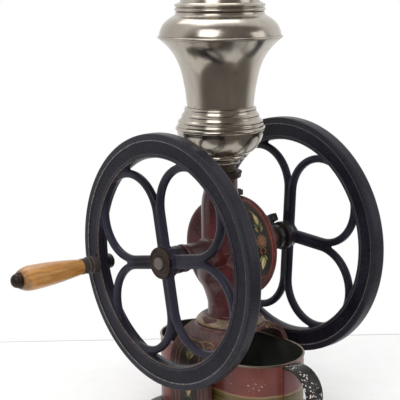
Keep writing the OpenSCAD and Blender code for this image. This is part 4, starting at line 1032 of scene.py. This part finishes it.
def plateGrid():
    # rounded rectangle outline carried up a stepped edge (inset, height), closed by its own centre
    circle = columns(np.cos(turns(240)), np.sin(turns(240)))
    centres = np.sign(circle) * (np.array([plate["halfX"], plate["halfY"]]) - plate["corner"])
    profile = rounded([(-1, 0), (0.2, 0, 0.4), (0, 1.2, 0.8), (0, 7.6, 1.2), (2.4, 8.4, 0.8), (2.9, 11.2, 1.2),
                       (5, 12), (8, 12)], 5)
    edge = ((centres + (plate["corner"] - max(inset, 0)) * circle, z) for inset, z in profile)
    grid = np.stack([columns(*xy.T, z) for xy, z in edge])
    low, high = grid[0] * [0, 0, 1], grid[-1] * [0, 0, 1]
    return np.concatenate([low[None], grid, high[None]]), False, True


holeLine = np.array([(0, -1), (plate["screwR"], -1), (plate["screwR"], 14), (0, 14)])
holes = [lathe(holeLine, (x * plate["screwX"], y * plate["screwY"], 0), "z", 40) for x in (-1, 1) for y in (-1, 1)]
plateMesh = cleaned(drilled(surface(plateGrid()), *holes))
piece("basePlate", plateMesh, "frame", "black_enamel", "blackEnamel", ["base_plate"])
print("arch and plate ready")

# receiving can: outlines are (outset from the oval, height)
can = dict(r=72.0, span=130.0, wire=1.75, wireZ=121.9)
strap = dict(x=-2.4, y=-137.1, low=36.5, high=120.3, reach=53.0, half=18.2, halfThick=1.15, rivets=(-12.0, 7.0),
             rivetY=-138.2, rivetZ=47.0)


def ovalLine(r):
    # two half circles joined by straights, walked by equal steps
    straight, whole = can["span"], can["span"] + math.pi * r
    s = np.linspace(0, 2 * whole, 360, endpoint=False)
    flip = np.where(s // whole > 0, -1.0, 1.0)
    s = s % whole
    a = np.clip((s - straight) / r, 0, math.pi)
    y = np.where(s < straight, s - straight / 2, straight / 2 + r * np.sin(a))
    return columns(r * np.cos(a) * flip, y * flip)


def ovalGrid(profile):
    # each point of the outline becomes one oval line at its height
    return np.stack([columns(*ovalLine(can["r"] + outset).T, z) for outset, z in profile])


outside = rounded([(-1.6, 12.6), (0.0, 12.6, 0.4), (0.0, 14.6, 0.4), (-0.6, 15.6, 0.4), (-0.6, 16.6, 0.4),
                   (0, 17.6, 0.6), (0, 60), (0, 112, 1), (0.0, 120.4), (-0.7, 120.4), (-0.7, 60), (-1.2, 17.6),
                   (-1.6, 15)])
lining = ovalGrid([(-40, 14.8), (-4, 14.8), (-1.62, 15), (-0.72, 60), (-0.72, 120.4), (-1.4, 120.4), (-1.4, 70),
                   (-1.4, 17.2), (-4, 16.1), (-40, 16.05)])
seams = lining[[0, -1]] * [0.0, 0.5, 1]
wire = columns(-0.6 + can["wire"] * np.cos(turns(16)), can["wireZ"] + can["wire"] * np.sin(turns(16)))


def strapGrid():
    # a flat band with rolled edges bent round a half circle and run back to the can
    y, low, high, reach = (strap[key] for key in ("y", "low", "high", "reach"))
    r = (high - low) / 2 - 1.2
    cy, cz = y - reach + r + 1.2, (high + low) / 2
    a = np.linspace(tau / 4, 3 * tau / 4, 60)
    bend = columns(cy + r * np.cos(a), cz + r * np.sin(a))
    top = columns(np.linspace(y - 1.2, cy, 12)[:-1], cz + r)
    bottom = top[::-1] * [1, -1] + [0, 2 * cz]
    tab = np.array([[y - 1.5, cz - r + 2.2], [y - 1.3, cz - r + 8], [y - 1.3, cz - r + 16]])
    line = np.vstack([top, bend, bottom[:-1], tab])
    path = columns(strap["x"], *line.T)
    return sweep(path, (1, 0, 0), np.cross(heading(path), (1, 0, 0)), strap["half"], strap["halfThick"], 28, 5.0)


rivetLine = rounded([(0, 0.9), (3.4, 0.9), (3.4, 1.4, 0.8), (2.2, 2.6, 1.2), (0, 3.0)])
rivets = [turned(lathe(rivetLine, (x, 0, 0), "z", 24), (0, 0, 0), 90) for x in strap["rivets"]]
rivets = [(grid + [0, strap["rivetY"], strap["rivetZ"]], *wraps) for grid, *wraps in rivets]
for name, grids, slot, finish, node in (
        ("canOutside", [(ovalGrid(outside), True, True)], "can_red", "canLacquer", "can_body"),
        ("canInside", [(np.concatenate([seams[:1], lining, seams[1:]]), False, True)], "can_black", "canLining",
         "can_bottom"),
        ("canWire", [(ovalGrid(wire), True, True)], "tin_edge", "tinEdge", "can_wire"),
        ("canHandle", [strapGrid()], "can_black", "chippedBlack", "can_handle"),
        ("handleRivets", rivets, "can_black", "darkSteel", "handle_rivets")):
    built(name, grids, "can", slot, finish, [node])
print("can ready")

# crank: pin, nut, ferrule, turned grip and end nut on one axis, outlines are (radius, x)
crank = dict(r=171.0, phase=math.radians(-11.3), gripStart=-172.9, gripLong=114.8, gripThin=12.25, gripBulge=7.6,
             fullest=0.84, pinSquare=28.4)
pinAt = (0, crank["r"] * math.cos(crank["phase"]), shaftZ + crank["r"] * math.sin(crank["phase"]))
t = np.linspace(0, 1, 60)
swell = crank["gripThin"] + crank["gripBulge"] * np.sin(tau / 4 * np.minimum(1, t / crank["fullest"]) ** 0.95)
past = (t - crank["fullest"]) / (1 - crank["fullest"])
tail = (crank["gripThin"] + crank["gripBulge"]) * np.sqrt(np.clip(1 - 0.46 * past ** 2, 0, 1))
gripLine = columns(np.where(t < crank["fullest"], swell, tail), crank["gripStart"] - crank["gripLong"] * t)
gripLine = np.vstack([[(6.1, crank["gripStart"])], gripLine, [(6.1, crank["gripStart"] - crank["gripLong"])]])
cap = np.radians(np.linspace(0, 90, 20))
pinParts = {
    "crankPin": ("rotor", "worn_steel", "agedIron", "crank_pin", 96, rounded([
        (0, -156.9), (13.5, -156.9, 1.2), (14.9, -155, 1.5), (14.9, -146, 1.5), (14.0, -142, 0.5), (0, -142)])),
    "rimNut": ("rotor", "dark_steel", "blackEnamel", "rim_nut", 64, rounded([
        (6.1, -124.2), (12.6, -124.2, 0.6), (12.8, -120.5, 0.8), (12.4, -119.6, 0.6), (12.2, -114.0, 1.5),
        (9.0, -110.8, 2.5), (0, -110.4)])),
    "ferrule": ("grip", "worn_steel", "agedIron", "grip_ferrule", 64, rounded([
        (10.3, -172.7), (12.9, -172.7, 0.4), (13.1, -171, 0.6), (12.5, -169.6, 0.5), (12.8, -166, 1), (12.7, -162.4, 1),
        (13.9, -161.2, 0.6), (14.0, -159.2, 0.8), (13.0, -157.4, 0.5), (6.1, -157.4)])),
    "grip": ("grip", "grip_wood", "gripWood", "grip", 96, gripLine),
    "gripNut": ("rotor", "dark_steel", "brownIron", "grip_nut", 64, np.vstack([
        columns(11.0 * np.sin(cap), -302.9 + 9.0 * (1 - np.cos(cap))),
        rounded([(11.2, -293.2), (12.3, -292.2, 0.6), (12.6, -290, 0.8), (11.6, -288.4, 0.6), (6.1, -288.3)])])),
}
for name, (bodyName, slot, finish, node, steps, outline) in pinParts.items():
    square = crank["pinSquare"] if name == "crankPin" else None
    spun(name, outline, pinAt, "x", steps, bodyName, slot, finish, [node], square=square)
print("crank ready")

# finishes of the nodes that keep their CAD shape
plainFinish = {"darkSteel": ["arch_bolts", "column_bolts", "burr_key", "wheel_keys"],
               "agedIron": ["top_bolt", "main_shaft"], "brass": ["near_bush", "far_bush"],
               "burrIron": ["fixed_burr", "turning_burr", "feed_worm"]}
for finish, nodes in plainFinish.items():
    for node in nodes:
        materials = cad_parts[node].data.materials
        materials.clear()
        materials.append(made[finish])

# studio: lamps are place, size and power; reach is the way from the camera over the table, on which tableEdge lies;
# mirrored is the part of the table that mirrors may show, by reach and side
studio = dict(lamps={"keySoft": ((-2.2, -1.0, 2.0), (1.6, 1.6), 30.0), "fillSoft": ((1.6, -2.2, 1.2), (1.4, 1.6), 10.0),
                     "topSoft": ((0.3, 0.8, 2.6), (1.8, 1.8), 22.0)},
              ambient=0.72, dimSide=(-0.42, -0.90, -0.12), mirrored=(-0.40, 0.3775, -1.0, 0.40), reach=(0.6332, 0.7740),
              tableEdge=(0.3722, 0.3745), halfTable=2.2, frontTable=-2.6,
              camera=(-1.1614, -1.2489, 0.7124), yaw=41.33, pitch=11.76, roll=-0.48, lens=99.0)


def stageFloor():
    # a pale table top that ends in a thin darker edge behind the mill; all beyond it is the white room
    s = newMaterial("paleTable")
    coords = s.place()
    x, y, z = s.split(coords)
    reachX, reachY = studio["reach"]
    away = s.math("ADD", s.times(x, reachX), s.times(y, reachY))
    colour = s.over((0.925, 0.925, 0.92), (0.945, 0.945, 0.94), s.ramp(s.noise(coords, 30.0), 0.3, 0.7))
    colour = s.over(colour, (0.42, 0.45, 0.41), s.ramp(away, *studio["tableEdge"]), 0.8)
    sockets = made["paleTable"].node_tree.nodes["Principled BSDF"].inputs
    s.feed(sockets["Base Color"], colour)
    s.feed(sockets["Roughness"], 0.7)
    side, reach = Vector((reachY, -reachX, 0)), Vector((reachX, reachY, 0))
    low, high, left, right = studio["mirrored"]
    wide = studio["halfTable"]
    for name, near, far, start, end in (("tableTop", low, high, left, right),
                                        ("tableFront", studio["frontTable"], low, -wide, wide),
                                        ("tableLeft", low, high, -wide, left), ("tableRight", low, high, right, wide)):
        corners = [reach * a + side * b for a, b in ((near, start), (near, end), (far, end), (far, start))]
        mesh = bpy.data.meshes.new(name)
        mesh.from_pydata([tuple(corner) for corner in corners], [], [(0, 1, 2, 3)])
        mesh.materials.append(made["paleTable"])
        obj = linked(name, mesh)
        obj.visible_glossy = name == "tableTop"


def areaLight(name, at, size, strength):
    # a rectangular lamp that looks at the mill's middle
    data = bpy.data.lights.new(name, "AREA")
    data.shape, data.energy = "RECTANGLE", strength
    data.size, data.size_y = size
    obj = linked(name, data)
    obj.location = at
    obj.rotation_euler = (Vector((0, 0, 0.35)) - Vector(at)).to_track_quat("-Z", "Y").to_euler()


def worldLight():
    # white to the camera; mirrors see the white room with one dim side, where the camera stands
    world = bpy.data.worlds.new("studioAir")
    bpy.context.scene.world = world
    world.use_nodes = True
    world.node_tree.nodes.clear()
    s = Shade(world.node_tree)
    ray = s.node("LightPath", {})
    coords = s.node("TexCoord", {})["Generated"]
    facing = s.node("VectorMath", {0: coords, 1: studio["dimSide"]}, operation="DOT_PRODUCT")["Value"]
    room = s.over((1.0, 1.0, 1.0), (0.20, 0.18, 0.165), s.ramp(facing, -0.25, 0.30))
    lamp = s.times(s.ramp(s.split(coords)[2], -0.2, 0.9, 0.93, 1.03), studio["ambient"])
    mirror, white, plain = (s.node("Background", {"Color": colour, "Strength": strength})[0]
                            for colour, strength in ((room, 1.0), ((1, 1, 1), 1.0), ((1, 1, 1), lamp)))
    seen = s.node("MixShader", {0: ray["Is Glossy Ray"], 1: plain, 2: mirror})[0]
    seen = s.node("MixShader", {0: ray["Is Camera Ray"], 1: seen, 2: white})[0]
    s.node("OutputWorld", {"Surface": seen})


def addCamera():
    # a long lens that looks along yaw from +Y towards +X and down by pitch, then is rolled
    yaw, pitch, roll = (math.radians(studio[key]) for key in ("yaw", "pitch", "roll"))
    forward = Vector((math.sin(yaw) * math.cos(pitch), math.cos(yaw) * math.cos(pitch), -math.sin(pitch)))
    right = Vector((math.cos(yaw), -math.sin(yaw), 0))
    up = right.cross(forward)
    right, up = math.cos(roll) * right + math.sin(roll) * up, math.cos(roll) * up - math.sin(roll) * right
    data = bpy.data.cameras.new("camera")
    data.sensor_width, data.lens = 36.0, studio["lens"]
    obj = linked("camera", data)
    obj.matrix_world = Matrix.Translation(studio["camera"]) @ Matrix((right, up, -forward)).transposed().to_4x4()
    bpy.context.scene.camera = obj


stageFloor()
for name, lamp in studio["lamps"].items():
    areaLight(name, *lamp)
worldLight()
addCamera()
bpy.context.scene.view_settings.view_transform = "Standard"
print("scene ready")
